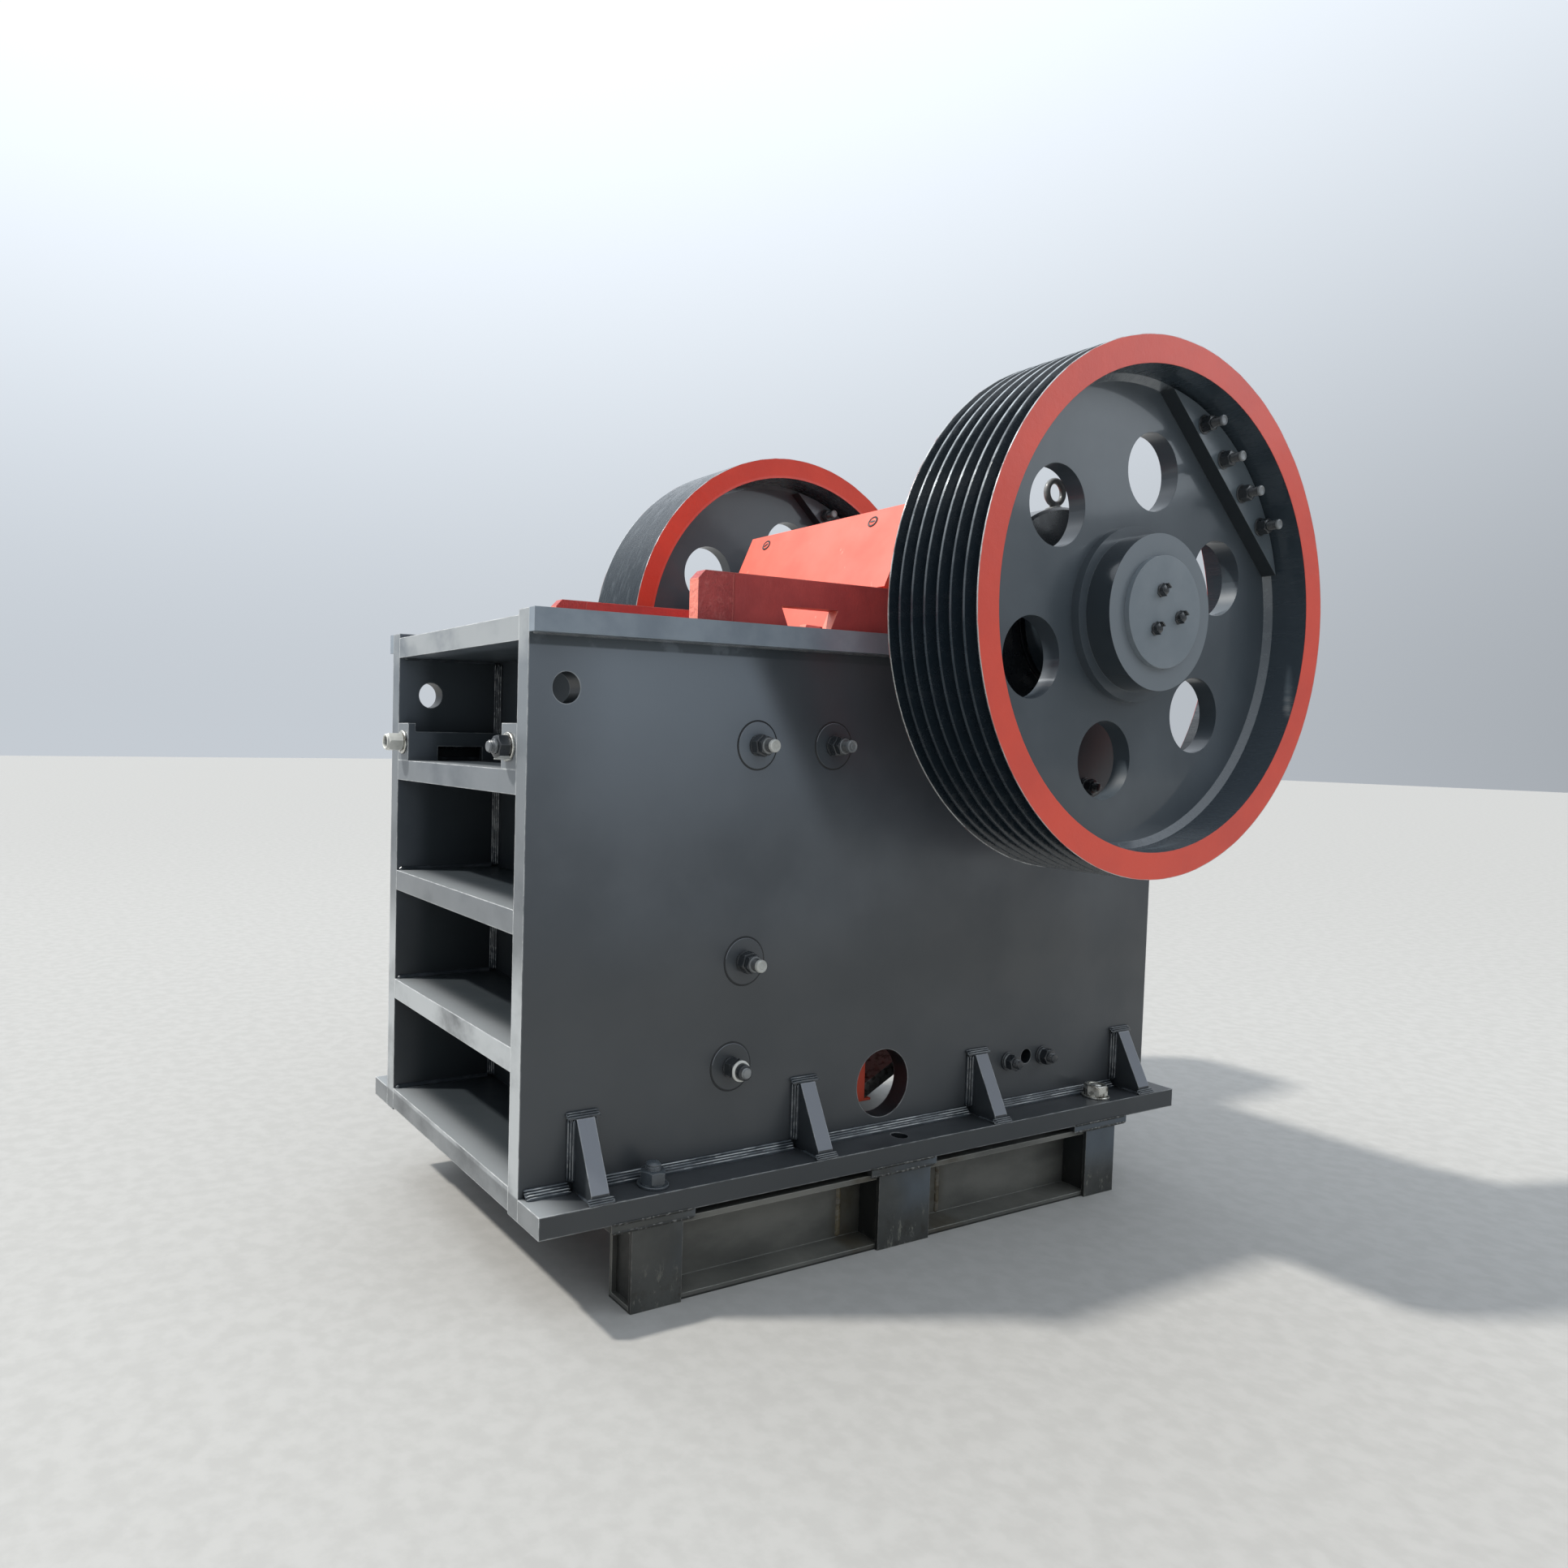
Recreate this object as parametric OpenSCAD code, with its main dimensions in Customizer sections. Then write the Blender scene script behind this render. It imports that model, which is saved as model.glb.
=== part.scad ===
/* [Side plates] */
// length of the two side plates along X
frame_length = 1395; // [1200:1:1600]
// height of the side plates above the flange underside
frame_height = 877; // [800:1:910]
// clear width between the side plates
inner_width = 484; // [450:1:540]
// side plate thickness
plate_t = 32; // [25:1:40]
// height at which the rear edge ends and the slope starts
rear_height = 560; // [520:1:640]
// where the rear slope leaves the top edge
rear_slope_x = 1240; // [1220:1:1300]
// bottom flange thickness
flange_t = 33; // [25:1:40]
// flange reach outside the side plate
flange_out = 66; // [60:1:80]
// top band height
band_h = 34; // [25:1:40]
// top band reach outside the side plate
band_out = 17; // [10:1:25]
// top band length from the front edge
band_length = 800; // [700:1:805]
// lifting hole diameter
lift_d = 46; // [30:1:60]
// lifting hole distance from the front edge
lift_x = 62; // [45:1:80]
// lifting hole distance below the top edge
lift_drop = 110; // [90:1:130]
// access hole diameter
access_d = 117; // [90:1:130]
// access hole distance from the front edge
access_x = 698; // [670:1:720]
// access hole height above the flange underside
access_z = 114; // [105:1:125]
// radius of the bearing seat cut in the side plate
seat_r = 160; // [140:1:170]
// diameter of the small hole between the toggle seat bolts
pin_hole_d = 27; // [20:1:32]
// how far the small hole lies behind the toggle seat's front face
pin_hole_in = 71; // [55:1:85]
// small hole height above the flange underside
pin_hole_z = 119; // [112:1:126]

/* [Gussets and foundation holes] */
// gusset thickness
gusset_t = 30; // [20:1:34]
// gusset height above the flange
gusset_h = 108; // [80:1:130]
// gusset toe height at the flange edge
gusset_toe = 12; // [6:1:20]
// gusset reach outside the side plate
gusset_out = 58; // [45:1:60]
// first gusset from the front edge
gusset_a = 88; // [70:1:100]
// second gusset from the front edge
gusset_b = 506; // [480:1:530]
// third gusset from the front edge
gusset_c = 909; // [890:1:930]
// fourth gusset's front face ahead of the rear edge
gusset_d_in = 91; // [60:1:110]
// foundation hole diameter
anchor_d = 28; // [20:1:34]
// front foundation hole from the front edge
anchor_front = 208; // [190:1:230]
// middle foundation hole from the front edge
anchor_mid = 706; // [680:1:730]
// rear foundation hole ahead of the rear edge
anchor_rear_in = 184; // [160:1:200]
// foundation hole distance outside the side plate
anchor_out = 34; // [28:1:38]

/* [Front end] */
// front rib thickness
rib_t = 36; // [28:1:42]
// underside of the top rib below the top edge
rib_1_drop = 44; // [42:1:70]
// underside of the second rib
rib_2 = 612; // [590:1:640]
// underside of the third rib
rib_3 = 410; // [390:1:430]
// underside of the fourth rib
rib_4 = 209; // [190:1:230]
// underside of the bottom rib
rib_5 = 4; // [0:1:12]
// depth of the front bays
bay_depth = 203; // [150:1:205]
// front wall thickness
wall_t = 32; // [25:1:36]
// lug width of the clamp brackets
lug_w = 50; // [40:1:60]
// lug height above the second rib
lug_h = 67; // [50:1:80]
// lug thickness
lug_t = 14; // [10:1:20]
// clamp bolt hole diameter
clamp_d = 26; // [20:1:30]
// bracket web height
bracket_h = 52; // [40:1:60]
// bracket web thickness
bracket_t = 12; // [8:1:12]
// bracket window length
window_l = 88; // [60:1:110]
// bracket window height
window_h = 26; // [16:1:32]

/* [Jaw plates] */
// fixed jaw plate thickness to the tooth tips
fixed_t = 62; // [50:1:64]
// fixed jaw plate height
fixed_h = 800; // [700:1:820]
// swing jaw plate thickness to the tooth tips
swing_t = 58; // [45:1:65]
// swing jaw plate length along its slope
swing_l = 850; // [780:1:855]
// jaw tooth depth
tooth_h = 16; // [10:1:22]
// number of teeth across a jaw plate
teeth = 8; // [6:1:10]
// cheek plate thickness
cheek_t = 23; // [18:1:24]
// cheek plate top above the side plate's top edge
cheek_rise = 83; // [60:1:110]
// cheek plate underside above the flange underside
cheek_low = 70; // [60:1:90]
// cheek plate front edge
cheek_front = 309; // [307:1:320]
// cheek plate rear edge
cheek_rear = 800; // [780:1:820]
// cheek plate foot length
cheek_foot = 251; // [220:1:280]
// height at which the cheek plate's rear edge starts
cheek_knee = 700; // [650:1:740]
// cheek plate corner cut
cheek_cut = 13; // [6:1:20]
// middle of the handling notch in the cheek plate
notch_x = 533; // [500:1:560]
// top of the handling notch above the side plate's top edge
notch_rise = 38; // [28:1:48]
// length of the handling notch at its top edge
notch_l = 120; // [90:1:150]

/* [Swing jaw] */
// gap between the swing jaw and each cheek plate
jaw_gap = 9; // [4:1:20]
// front foot of the swing jaw from the front edge
jaw_x = 400; // [395:1:410]
// foot of the swing jaw above the flange underside
jaw_low = 60; // [55:1:70]
// slope of the swing jaw's face from upright in degrees
jaw_lean = 15.4; // [14:0.1:17]
// thickness of the swing jaw's face wall
jaw_wall = 48; // [36:1:60]
// thickness of each rib on the back of the swing jaw
jaw_rib = 30; // [22:1:40]
// rear of the swing jaw's foot from the front edge
jaw_back = 735; // [725:1:745]
// height of the swing jaw's foot below the toggle plate
jaw_foot_h = 4; // [3:1:12]
// how far the toggle plate's seat lies inside the rear of the foot
toggle_inset = 15; // [8:1:25]
// height over which the jaw carries the toggle plate's seat
jaw_seat_h = 136; // [110:1:160]
// jaw head radius
head_r = 150; // [140:1:158]
// swing jaw bore radius
jaw_bore_r = 88; // [86:1:100]
// guard plate foot from the front edge
guard_x = 685; // [675:1:695]
// guard plate foot above the side plate's top edge
guard_rise = 13; // [5:1:18]
// guard plate slope from upright in degrees
guard_lean = 25; // [22:1:28]
// guard plate thickness
guard_t = 10; // [8:1:16]
// guard plate length along its slope
guard_l = 249; // [220:1:255]
// how far the guard plate's upper part reaches past each side of the swing jaw
guard_side = 16; // [10:1:24]

/* [Shaft and wheels] */
// shaft centre from the front edge
shaft_x = 1009.5; // [1000:0.5:1020]
// shaft centre above the side plate's top edge
shaft_rise = 37.7; // [28:0.1:50]
// journal radius
journal_r = 55; // [45:1:65]
// eccentric radius
ecc_r = 70; // [66:1:72]
// eccentric throw
throw_e = 8; // [4:1:8]
// wheel radius
wheel_r = 430; // [410:1:440]
// rim width
rim_w = 171; // [150:1:190]
// rim thickness with its grooves
rim_t = 44; // [36:1:54]
// gap from the side plate to the rim
wheel_gap = 92; // [90:1:110]
// web depth behind the outer rim face
web_recess = 66; // [50:1:75]
// web thickness
web_t = 29; // [20:1:36]
// bevel between the web and the rim
web_bevel = 10; // [6:1:14]
// web hole radius
hole_r = 65; // [50:1:66]
// how far the web hole circle lies inside the middle of the web
hole_shift = 20.5; // [14:0.5:24]
// first web hole angle
hole_angle = 19; // [0:1:59]
// number of web holes
web_holes = 6; // [4:1:7]
// number of belt grooves
grooves = 7; // [5:1:8]
// groove depth
groove_depth = 17; // [10:1:18]
// land width between grooves
land_w = 3.4; // [2:0.1:6]
// groove flank angle from the radius in degrees
groove_flank = 19; // [17:0.5:20]
// hub radius
hub_r = 126; // [110:1:135]
// hub base ring radius
hub_base_r = 143; // [138:1:160]
// hub base ring height on the web
hub_base_h = 14; // [8:1:20]
// hub face depth behind the outer rim face
hub_recess = 12; // [9:1:20]
// end cap radius
cap_r = 90; // [70:1:100]
// end cap thickness
cap_t = 8; // [5:1:9]
// counterweight thickness
weight_t = 24; // [15:1:34]
// counterweight depth from its chord to its arc
weight_depth = 63; // [50:1:65]
// counterweight middle angle
weight_angle = 48; // [30:1:60]
// bearing housing radius
housing_r = 196; // [180:1:200]
// bearing housing reach outside the side plate
housing_out = 84; // [70:1:84]
// bearing housing edge bevel
housing_bevel = 5; // [3:1:8]
// bearing cover radius
cover_r = 120; // [100:1:140]
// depth of the step round the bearing cover
cover_step = 6; // [4:1:10]

/* [Stand] */
// channel height
channel_h = 126; // [100:1:160]
// channel flange width
channel_w = 53; // [45:1:60]
// channel web thickness
channel_web = 6; // [5:1:9]
// channel flange thickness
channel_flange = 9; // [6:1:12]
// shim thickness
shim_t = 12; // [6:1:16]
// length of each shim
shim_l = 146; // [120:1:160]
// front shim from the front edge
shim_front = 118; // [110:1:125]
// channel front end
stand_front = 153; // [140:1:170]
// channel rear end ahead of the frame's rear edge
stand_rear_in = 170; // [140:1:190]
// post plate thickness
post_t = 6; // [4:1:10]
// front post width
post_a = 89; // [70:1:110]
// middle post width
post_b = 115; // [90:1:130]
// rear post width
post_c = 80; // [70:1:110]
// middle post start
post_mid = 632; // [600:1:660]

/* [Rear end] */
// toggle plate thickness
toggle_t = 26; // [20:1:34]
// toggle plate's slope up to the rear in degrees
toggle_lean = 26; // [20:1:28]
// toggle seat front face from the front edge
block_x = 985; // [970:1:1000]
// toggle seat length
block_l = 130; // [110:1:150]
// toggle seat underside above the flange underside
block_low = 100; // [96:1:105]
// toggle seat height
block_h = 230; // [215:1:250]
// rear wall height above its foot
rear_wall_h = 450; // [400:1:480]
// rear wall foot above the flange underside
rear_wall_low = 20; // [10:1:24]
// rear ribs' end ahead of the frame's rear edge
rear_rib_in = 58; // [30:1:90]
// tension rod radius
rod_r = 11; // [9:1:14]
// tension rod height above the flange underside
rod_z = 42; // [40:1:43]
// how far the tension rod's head reaches past its radius
rod_head = 5; // [3:1:6]
// length of the lug that holds the rod under the swing jaw
rod_lug_l = 45; // [30:1:60]
// width of the rod's lug
rod_lug_w = 44; // [36:1:60]
// tension rod length behind the swing jaw
rod_l = 600; // [580:1:620]
// spring outer radius
spring_r = 30; // [26:1:34]
// spring wire radius
wire_r = 5; // [4:1:6]
// number of spring coils
coils = 9; // [6:1:10]

/* [Hidden] */
$fn = 96;
over = 1;
rotor_gap = 0.05;
fit_gap = 2;
seat_gap = 0.1;
z0 = channel_h + shim_t;
half_in = inner_width / 2;
half_out = half_in + plate_t;
cheek_in = half_in - cheek_t;
jaw_w = 2 * (cheek_in - jaw_gap);
rim_in = wheel_r - rim_t;
lift_z = frame_height - lift_drop;
gusset_d = frame_length - gusset_d_in;
anchor_rear = frame_length - anchor_rear_in;
rib_1 = frame_height - rib_1_drop;
cheek_top = frame_height + cheek_rise;
guard_z = frame_height + guard_rise;
shaft_z = frame_height + shaft_rise;
stand_rear = frame_length - stand_rear_in;
edge_y = half_out + flange_out;
mid_x = (shaft_x + wheel_r) / 2;
band_z = z0 + frame_height - band_h;
wall_x = bay_depth + wall_t;
wall_top = z0 + rib_1 + rib_t;
sx = shaft_x;
sz = z0 + shaft_z;
wheel_in = half_out + wheel_gap;
wheel_out = wheel_in + rim_w;
groove_pitch = rim_w / grooves;
groove_top = groove_pitch - land_w;
groove_bottom = groove_top - 2 * groove_depth * tan(groove_flank);
web_out = wheel_out - web_recess;
web_in = web_out - web_t;
hub_in = wheel_in + cover_step;
hub_out = wheel_out - hub_recess;
hole_circle = (hub_base_r + rim_in) / 2 - hole_shift;
weight_r = rim_in - web_bevel - over;
weight_chord = weight_r - weight_depth;
notch_low = z0 + frame_height - band_h / 4;
notch_top = z0 + frame_height + notch_rise;
notch_slope = 0.65;
guard_top_x = guard_x + guard_l * sin(guard_lean);
guard_top_z = z0 + guard_z + guard_l * cos(guard_lean);
lip = 28;
face_top_x = jaw_x + (guard_z - jaw_low) * tan(jaw_lean);
foot_top = z0 + jaw_low + jaw_foot_h;
toggle_x = jaw_back - toggle_inset;
stand_y = edge_y - post_t - channel_w;
rear_wall_x = block_x + block_l;
spring_x = rear_wall_x + wall_t;
rear_rib_l = frame_length - rear_rib_in - spring_x;
spring_l = 2 * coils * wire_r + wire_r;

// Which sub-part to build: all or one node name

paint = [0.30, 0.33, 0.36];
red = [0.72, 0.24, 0.20];
dark_red = [0.45, 0.14, 0.14];
black = [0.06, 0.07, 0.08];
steel = [0.24, 0.24, 0.22];

// moves its children from the front edge's frame to the object's middle
module placed() {
    translate([-mid_x, 0, 0]) children();
}

// a far side piece where it is, or mirrored to the near side
module on_side(far) {
    placed() if (far) children();
    else mirror([0, 1, 0]) children();
}

// a profile drawn in X and height, t thick along Y from y_low upward
module slab(y_low, t) {
    translate([0, y_low + t, 0]) rotate([90, 0, 0]) linear_extrude(height = t) children();
}

// a round bar along Y
module round_y(r, y_low, t, x, z) {
    translate([x, y_low, z]) rotate([-90, 0, 0]) cylinder(r = r, h = t);
}

// a round bar along X
module round_x(r, x_low, t, y, z) {
    translate([x_low, y, z]) rotate([0, 90, 0]) cylinder(r = r, h = t);
}

// side plate with its lifting hole, access hole, pin hole and open bearing seat
module side_plate() {
    difference() {
        slab(half_in, plate_t) polygon([
            [0, z0], [frame_length, z0], [frame_length, z0 + rear_height],
            [rear_slope_x, z0 + frame_height], [0, z0 + frame_height]]);
        round_y(lift_d / 2, half_in - over, plate_t + 2 * over, lift_x, z0 + lift_z);
        round_y(access_d / 2, half_in - over, plate_t + 2 * over, access_x, z0 + access_z);
        round_y(pin_hole_d / 2, half_in - over, plate_t + 2 * over, block_x + pin_hole_in, z0 + pin_hole_z);
        round_y(seat_r, half_in - over, plate_t + 2 * over, sx, sz);
    }
}

module side_plate_near() color(paint) on_side(false) side_plate();
module side_plate_far() color(paint) on_side(true) side_plate();

// bottom flange with its three foundation holes
module base_flange() {
    difference() {
        translate([0, half_out, z0]) cube([frame_length, flange_out, flange_t]);
        for (x = [anchor_front, anchor_mid, anchor_rear])
            translate([x, half_out + anchor_out, z0 - over]) cylinder(d = anchor_d, h = flange_t + 2 * over);
    }
}

module base_flange_near() color(paint) on_side(false) base_flange();
module base_flange_far() color(paint) on_side(true) base_flange();

// stiffening band along the top edge of a side plate
module top_band() {
    translate([0, half_out, band_z]) cube([band_length, band_out, band_h]);
}

module top_band_near() color(paint) on_side(false) top_band();
module top_band_far() color(paint) on_side(true) top_band();

// four sloping gussets between a flange and its side plate
module gussets() {
    for (x = [gusset_a, gusset_b, gusset_c, gusset_d])
        translate([x, 0, 0]) rotate([90, 0, 90]) linear_extrude(height = gusset_t) polygon([
            [half_out, z0 + flange_t], [half_out + gusset_out, z0 + flange_t],
            [half_out + gusset_out, z0 + flange_t + gusset_toe],
            [half_out + gusset_toe, z0 + flange_t + gusset_h], [half_out, z0 + flange_t + gusset_h]]);
}

module gussets_near() color(paint) on_side(false) gussets();
module gussets_far() color(paint) on_side(true) gussets();

// rib between the side plates, ahead of the front wall
module rib(z) {
    placed() translate([0, -half_in, z0 + z]) cube([bay_depth, inner_width, rib_t]);
}

module front_rib_1() color(paint) rib(rib_1);
module front_rib_2() color(paint) rib(rib_2);
module front_rib_3() color(paint) rib(rib_3);
module front_rib_4() color(paint) rib(rib_4);
module front_rib_5() color(paint) rib(rib_5);

// front wall with the two clamp bolt holes
module front_wall() {
    color(paint) placed() difference() {
        translate([bay_depth, -half_in, z0 + rib_5]) cube([wall_t, inner_width, wall_top - z0 - rib_5]);
        for (side = [-1, 1])
            round_x(clamp_d / 2, bay_depth - over, wall_t + 2 * over,
                    side * (half_in - lug_w / 2), z0 + rib_2 + rib_t + lug_h / 2);
    }
}

// lug that carries a clamp bolt, with the windowed web behind it
module clamp_bracket() {
    base = z0 + rib_2 + rib_t;
    inner = half_in - lug_w;
    difference() {
        union() {
            translate([0, inner, base]) cube([lug_t, lug_w, lug_h]);
            translate([0, inner, base]) cube([bay_depth, bracket_t, bracket_h]);
        }
        round_x(clamp_d / 2, -over, lug_t + 2 * over, half_in - lug_w / 2, base + lug_h / 2);
        translate([(bay_depth - window_l) / 2, inner - over, base])
            cube([window_l, bracket_t + 2 * over, window_h]);
    }
}

module clamp_bracket_near() color(paint) on_side(false) clamp_bracket();
module clamp_bracket_far() color(paint) on_side(true) clamp_bracket();

// upright plate with teeth on its front, w wide, h high and t deep to the tooth tips
module toothed(w, h, t) {
    pitch = w / teeth;
    flat_from = 0.35;
    flat_to = 0.65;
    linear_extrude(height = h) polygon(concat(
        [[0, w / 2], [0, -w / 2]],
        [for (i = [0 : teeth - 1]) each [
            [t - tooth_h, -w / 2 + i * pitch], [t, -w / 2 + (i + flat_from) * pitch],
            [t, -w / 2 + (i + flat_to) * pitch]]],
        [[t - tooth_h, w / 2]]));
}

module fixed_jaw_plate() {
    color(dark_red) placed() translate([wall_x, 0, wall_top - fixed_h])
        toothed(inner_width - 2 * fit_gap, fixed_h, fixed_t);
}

// side liner of the crushing chamber with its handling notch
module cheek_plate() {
    foot_x = cheek_front + cheek_foot;
    low_half = notch_slope * notch_l / 2;
    difference() {
        slab(cheek_in, cheek_t) polygon([
            [cheek_front, z0 + cheek_low], [foot_x, z0 + cheek_low], [cheek_rear, z0 + cheek_knee],
            [cheek_rear, z0 + cheek_top], [cheek_front + cheek_cut, z0 + cheek_top],
            [cheek_front, z0 + cheek_top - cheek_cut]]);
        slab(cheek_in - over, cheek_t + 2 * over) polygon([
            [notch_x - low_half, notch_low], [notch_x + low_half, notch_low],
            [notch_x + notch_l / 2, notch_top], [notch_x - notch_l / 2, notch_top]]);
    }
}

module cheek_plate_near() color(dark_red) on_side(false) cheek_plate();
module cheek_plate_far() color(dark_red) on_side(true) cheek_plate();

// outline of the swing jaw seen from the side, without its head
module jaw_side() {
    polygon([
        [jaw_x, z0 + jaw_low], [face_top_x, z0 + guard_z], [guard_x, z0 + guard_z],
        [guard_top_x - lip * sin(guard_lean), guard_top_z - lip], [guard_top_x + lip, guard_top_z - lip],
        [sx - head_r / 2, sz + head_r * sin(60)], [sx + head_r * cos(45), sz - head_r * sin(45)],
        [jaw_back + head_r * cos(45), z0 + frame_height / 2],
        [toggle_x, foot_top + jaw_seat_h], [toggle_x, foot_top], [jaw_back, foot_top],
        [jaw_back, z0 + jaw_low]]);
}

// the part of the side outline that runs across the whole jaw: face wall, top lip and toggle foot
module jaw_core() {
    polygon([
        [jaw_x, z0 + jaw_low], [face_top_x, z0 + guard_z], [guard_x, z0 + guard_z],
        [guard_top_x - lip * sin(guard_lean), guard_top_z - lip], [guard_top_x + lip, guard_top_z - lip],
        [face_top_x + 3 * jaw_wall, z0 + guard_z], [face_top_x + jaw_wall, z0 + guard_z - 2 * jaw_wall],
        [jaw_x + 3 * jaw_wall, foot_top + jaw_seat_h], [toggle_x, foot_top + jaw_seat_h],
        [toggle_x, foot_top], [jaw_back, foot_top], [jaw_back, z0 + jaw_low]]);
}

// swing jaw casting: ribbed back, bored head, a foot for the toggle plate and the rod's lug
module swing_jaw() {
    pitch = (jaw_w - jaw_rib) / 3;
    color(red) placed() difference() {
        union() {
            slab(-jaw_w / 2, jaw_w) jaw_core();
            for (i = [0 : 3]) slab(-jaw_w / 2 + i * pitch, jaw_rib) jaw_side();
            round_y(head_r, -jaw_w / 2, jaw_w, sx, sz);
            translate([jaw_back - rod_lug_l, -rod_lug_w / 2, z0 + rod_z - rod_lug_w / 2])
                cube([rod_lug_l, rod_lug_w, jaw_low - rod_z + rod_lug_w / 2 + over]);
        }
        round_y(jaw_bore_r, -jaw_w / 2 - over, jaw_w + 2 * over, sx, sz);
        round_x(rod_r + over, jaw_back - rod_lug_l - over, rod_lug_l + 2 * over, 0, z0 + rod_z);
    }
}

module swing_jaw_plate() {
    color(dark_red) placed() translate([jaw_x, 0, z0 + jaw_low]) rotate([0, jaw_lean, 0])
        translate([-seat_gap, 0, 0]) mirror([1, 0, 0]) toothed(jaw_w, swing_l, swing_t);
}

// sloped guard plate, wider above the cheek plates
module guard_plate() {
    shoulder = (cheek_top + fit_gap - guard_z) / cos(guard_lean);
    color(red) placed() translate([guard_x, 0, z0 + guard_z]) rotate([0, guard_lean, 0])
        translate([-guard_t, 0, 0]) union() {
            translate([0, -jaw_w / 2, 0]) cube([guard_t, jaw_w, guard_l]);
            translate([0, -jaw_w / 2 - guard_side, shoulder])
                cube([guard_t, jaw_w + 2 * guard_side, guard_l - shoulder]);
        }
}

// toggle plate from the swing jaw's foot to its seat
module toggle_plate() {
    rise = (block_x - toggle_x) * tan(toggle_lean);
    color(steel) placed() slab(-jaw_w / 2 + over, jaw_w - 2 * over) polygon([
        [toggle_x, foot_top], [block_x, foot_top + rise], [block_x, foot_top + rise + toggle_t],
        [toggle_x, foot_top + toggle_t]]);
}

module toggle_seat() {
    color(steel) placed() translate([block_x, -half_in, z0 + block_low])
        cube([block_l, inner_width, block_h]);
}

// rear wall with a hole for the tension rod
module rear_wall() {
    color(paint) placed() difference() {
        translate([rear_wall_x, -half_in, z0 + rear_wall_low]) cube([wall_t, inner_width, rear_wall_h]);
        round_x(rod_r + over, rear_wall_x - over, wall_t + 2 * over, 0, z0 + rod_z);
    }
}

// rib across the back of the rear wall
module rear_rib(z) {
    placed() translate([rear_wall_x + wall_t, -half_in, z0 + rear_wall_low + z])
        cube([rear_rib_l, inner_width, rib_t]);
}

module rear_rib_low() color(paint) rear_rib(rear_wall_h / 2 - rib_t / 2);
module rear_rib_top() color(paint) rear_rib(rear_wall_h - rib_t);

// rod that pulls the swing jaw's foot against the toggle plate, with its washers and nut
module tension_rod() {
    start = jaw_back - rod_lug_l - rod_r;
    washer = spring_x + spring_l;
    color(steel) placed() union() {
        round_x(rod_r, start, jaw_back + rod_l - start, 0, z0 + rod_z);
        round_x(rod_r + rod_head, start, rod_r, 0, z0 + rod_z);
        round_x(spring_r, washer, wire_r, 0, z0 + rod_z);
        translate([washer + wire_r, 0, z0 + rod_z]) rotate([0, 90, 0])
            cylinder(r = 2 * rod_r, h = 2 * rod_r, $fn = 6);
    }
}

// closed coil spring as a turned sleeve with one round bead for each coil
module tension_spring() {
    mid_r = spring_r - wire_r;
    color(steel) placed() translate([spring_x, 0, z0 + rod_z]) rotate([0, 90, 0]) rotate_extrude() union() {
        translate([mid_r - wire_r / 2, 0]) square([wire_r, spring_l]);
        for (i = [0 : coils - 1]) translate([mid_r, (2 * i + 1.5) * wire_r]) circle(r = wire_r, $fn = 24);
    }
}

// round bearing housing with a bevelled edge, its cover and the boss that fills the plate's seat
module bearing_housing() {
    face = half_out + housing_out;
    translate([sx, 0, sz]) rotate([-90, 0, 0]) rotate_extrude() polygon([
        [journal_r + rotor_gap, half_in], [seat_r, half_in], [seat_r, half_out], [housing_r, half_out],
        [housing_r, face - housing_bevel], [housing_r - housing_bevel, face], [cover_r + cover_step, face],
        [cover_r + cover_step, face - cover_step], [cover_r, face - cover_step], [cover_r, face],
        [journal_r + rotor_gap, face]]);
}

module bearing_housing_near() color(black) on_side(false) bearing_housing();
module bearing_housing_far() color(black) on_side(true) bearing_housing();

// shaft through both hubs with the eccentric inside the swing jaw
module eccentric_shaft() {
    color(steel) placed() union() {
        round_y(journal_r, -hub_out, 2 * hub_out, sx, sz);
        round_y(ecc_r, -jaw_w / 2, jaw_w, sx, sz + throw_e);
    }
}

// one belt groove, cut from the rim with its middle at height 0
module groove() {
    polygon([
        [wheel_r + over, -groove_top / 2], [wheel_r, -groove_top / 2],
        [wheel_r - groove_depth, -groove_bottom / 2], [wheel_r - groove_depth, groove_bottom / 2],
        [wheel_r, groove_top / 2], [wheel_r + over, groove_top / 2]]);
}

// wheel turned about the shaft, with web holes and, if grooved, the belt grooves
module wheel(grooved) {
    difference() {
        translate([sx, 0, sz]) rotate([-90, 0, 0]) rotate_extrude() difference() {
            polygon([
                [journal_r, hub_in], [hub_r, hub_in], [hub_r, web_in], [rim_in, web_in], [rim_in, wheel_in],
                [wheel_r, wheel_in], [wheel_r, wheel_out], [rim_in, wheel_out],
                [rim_in, web_out + web_bevel], [rim_in - web_bevel, web_out], [hub_base_r, web_out],
                [hub_base_r, web_out + hub_base_h], [hub_r, web_out + hub_base_h], [hub_r, hub_out],
                [journal_r, hub_out]]);
            if (grooved)
                for (i = [0 : grooves - 1]) translate([0, wheel_in + (i + 0.5) * groove_pitch]) groove();
        }
        for (i = [0 : web_holes - 1]) {
            a = hole_angle + i * 360 / web_holes;
            round_y(hole_r, web_in - over, web_t + 2 * over,
                    sx + hole_circle * cos(a), sz + hole_circle * sin(a));
        }
    }
}

module pulley() color(black) on_side(false) wheel(true);
module flywheel() color(black) on_side(true) wheel(false);

// counterweight cut from a disc along a chord, held flat against the web
module counterweight(y_low) {
    slab(y_low, weight_t) translate([sx, sz]) rotate(weight_angle) intersection() {
        circle(r = weight_r);
        translate([weight_chord, -rim_in]) square([rim_in, 2 * rim_in]);
    }
}

module counterweight_near() color(paint) on_side(false) counterweight(web_out);
module counterweight_far() color(paint) on_side(true) counterweight(web_in - weight_t);

// round cap over the shaft end
module hub_cap() {
    round_y(cap_r, hub_out, cap_t, sx, sz);
}

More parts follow.
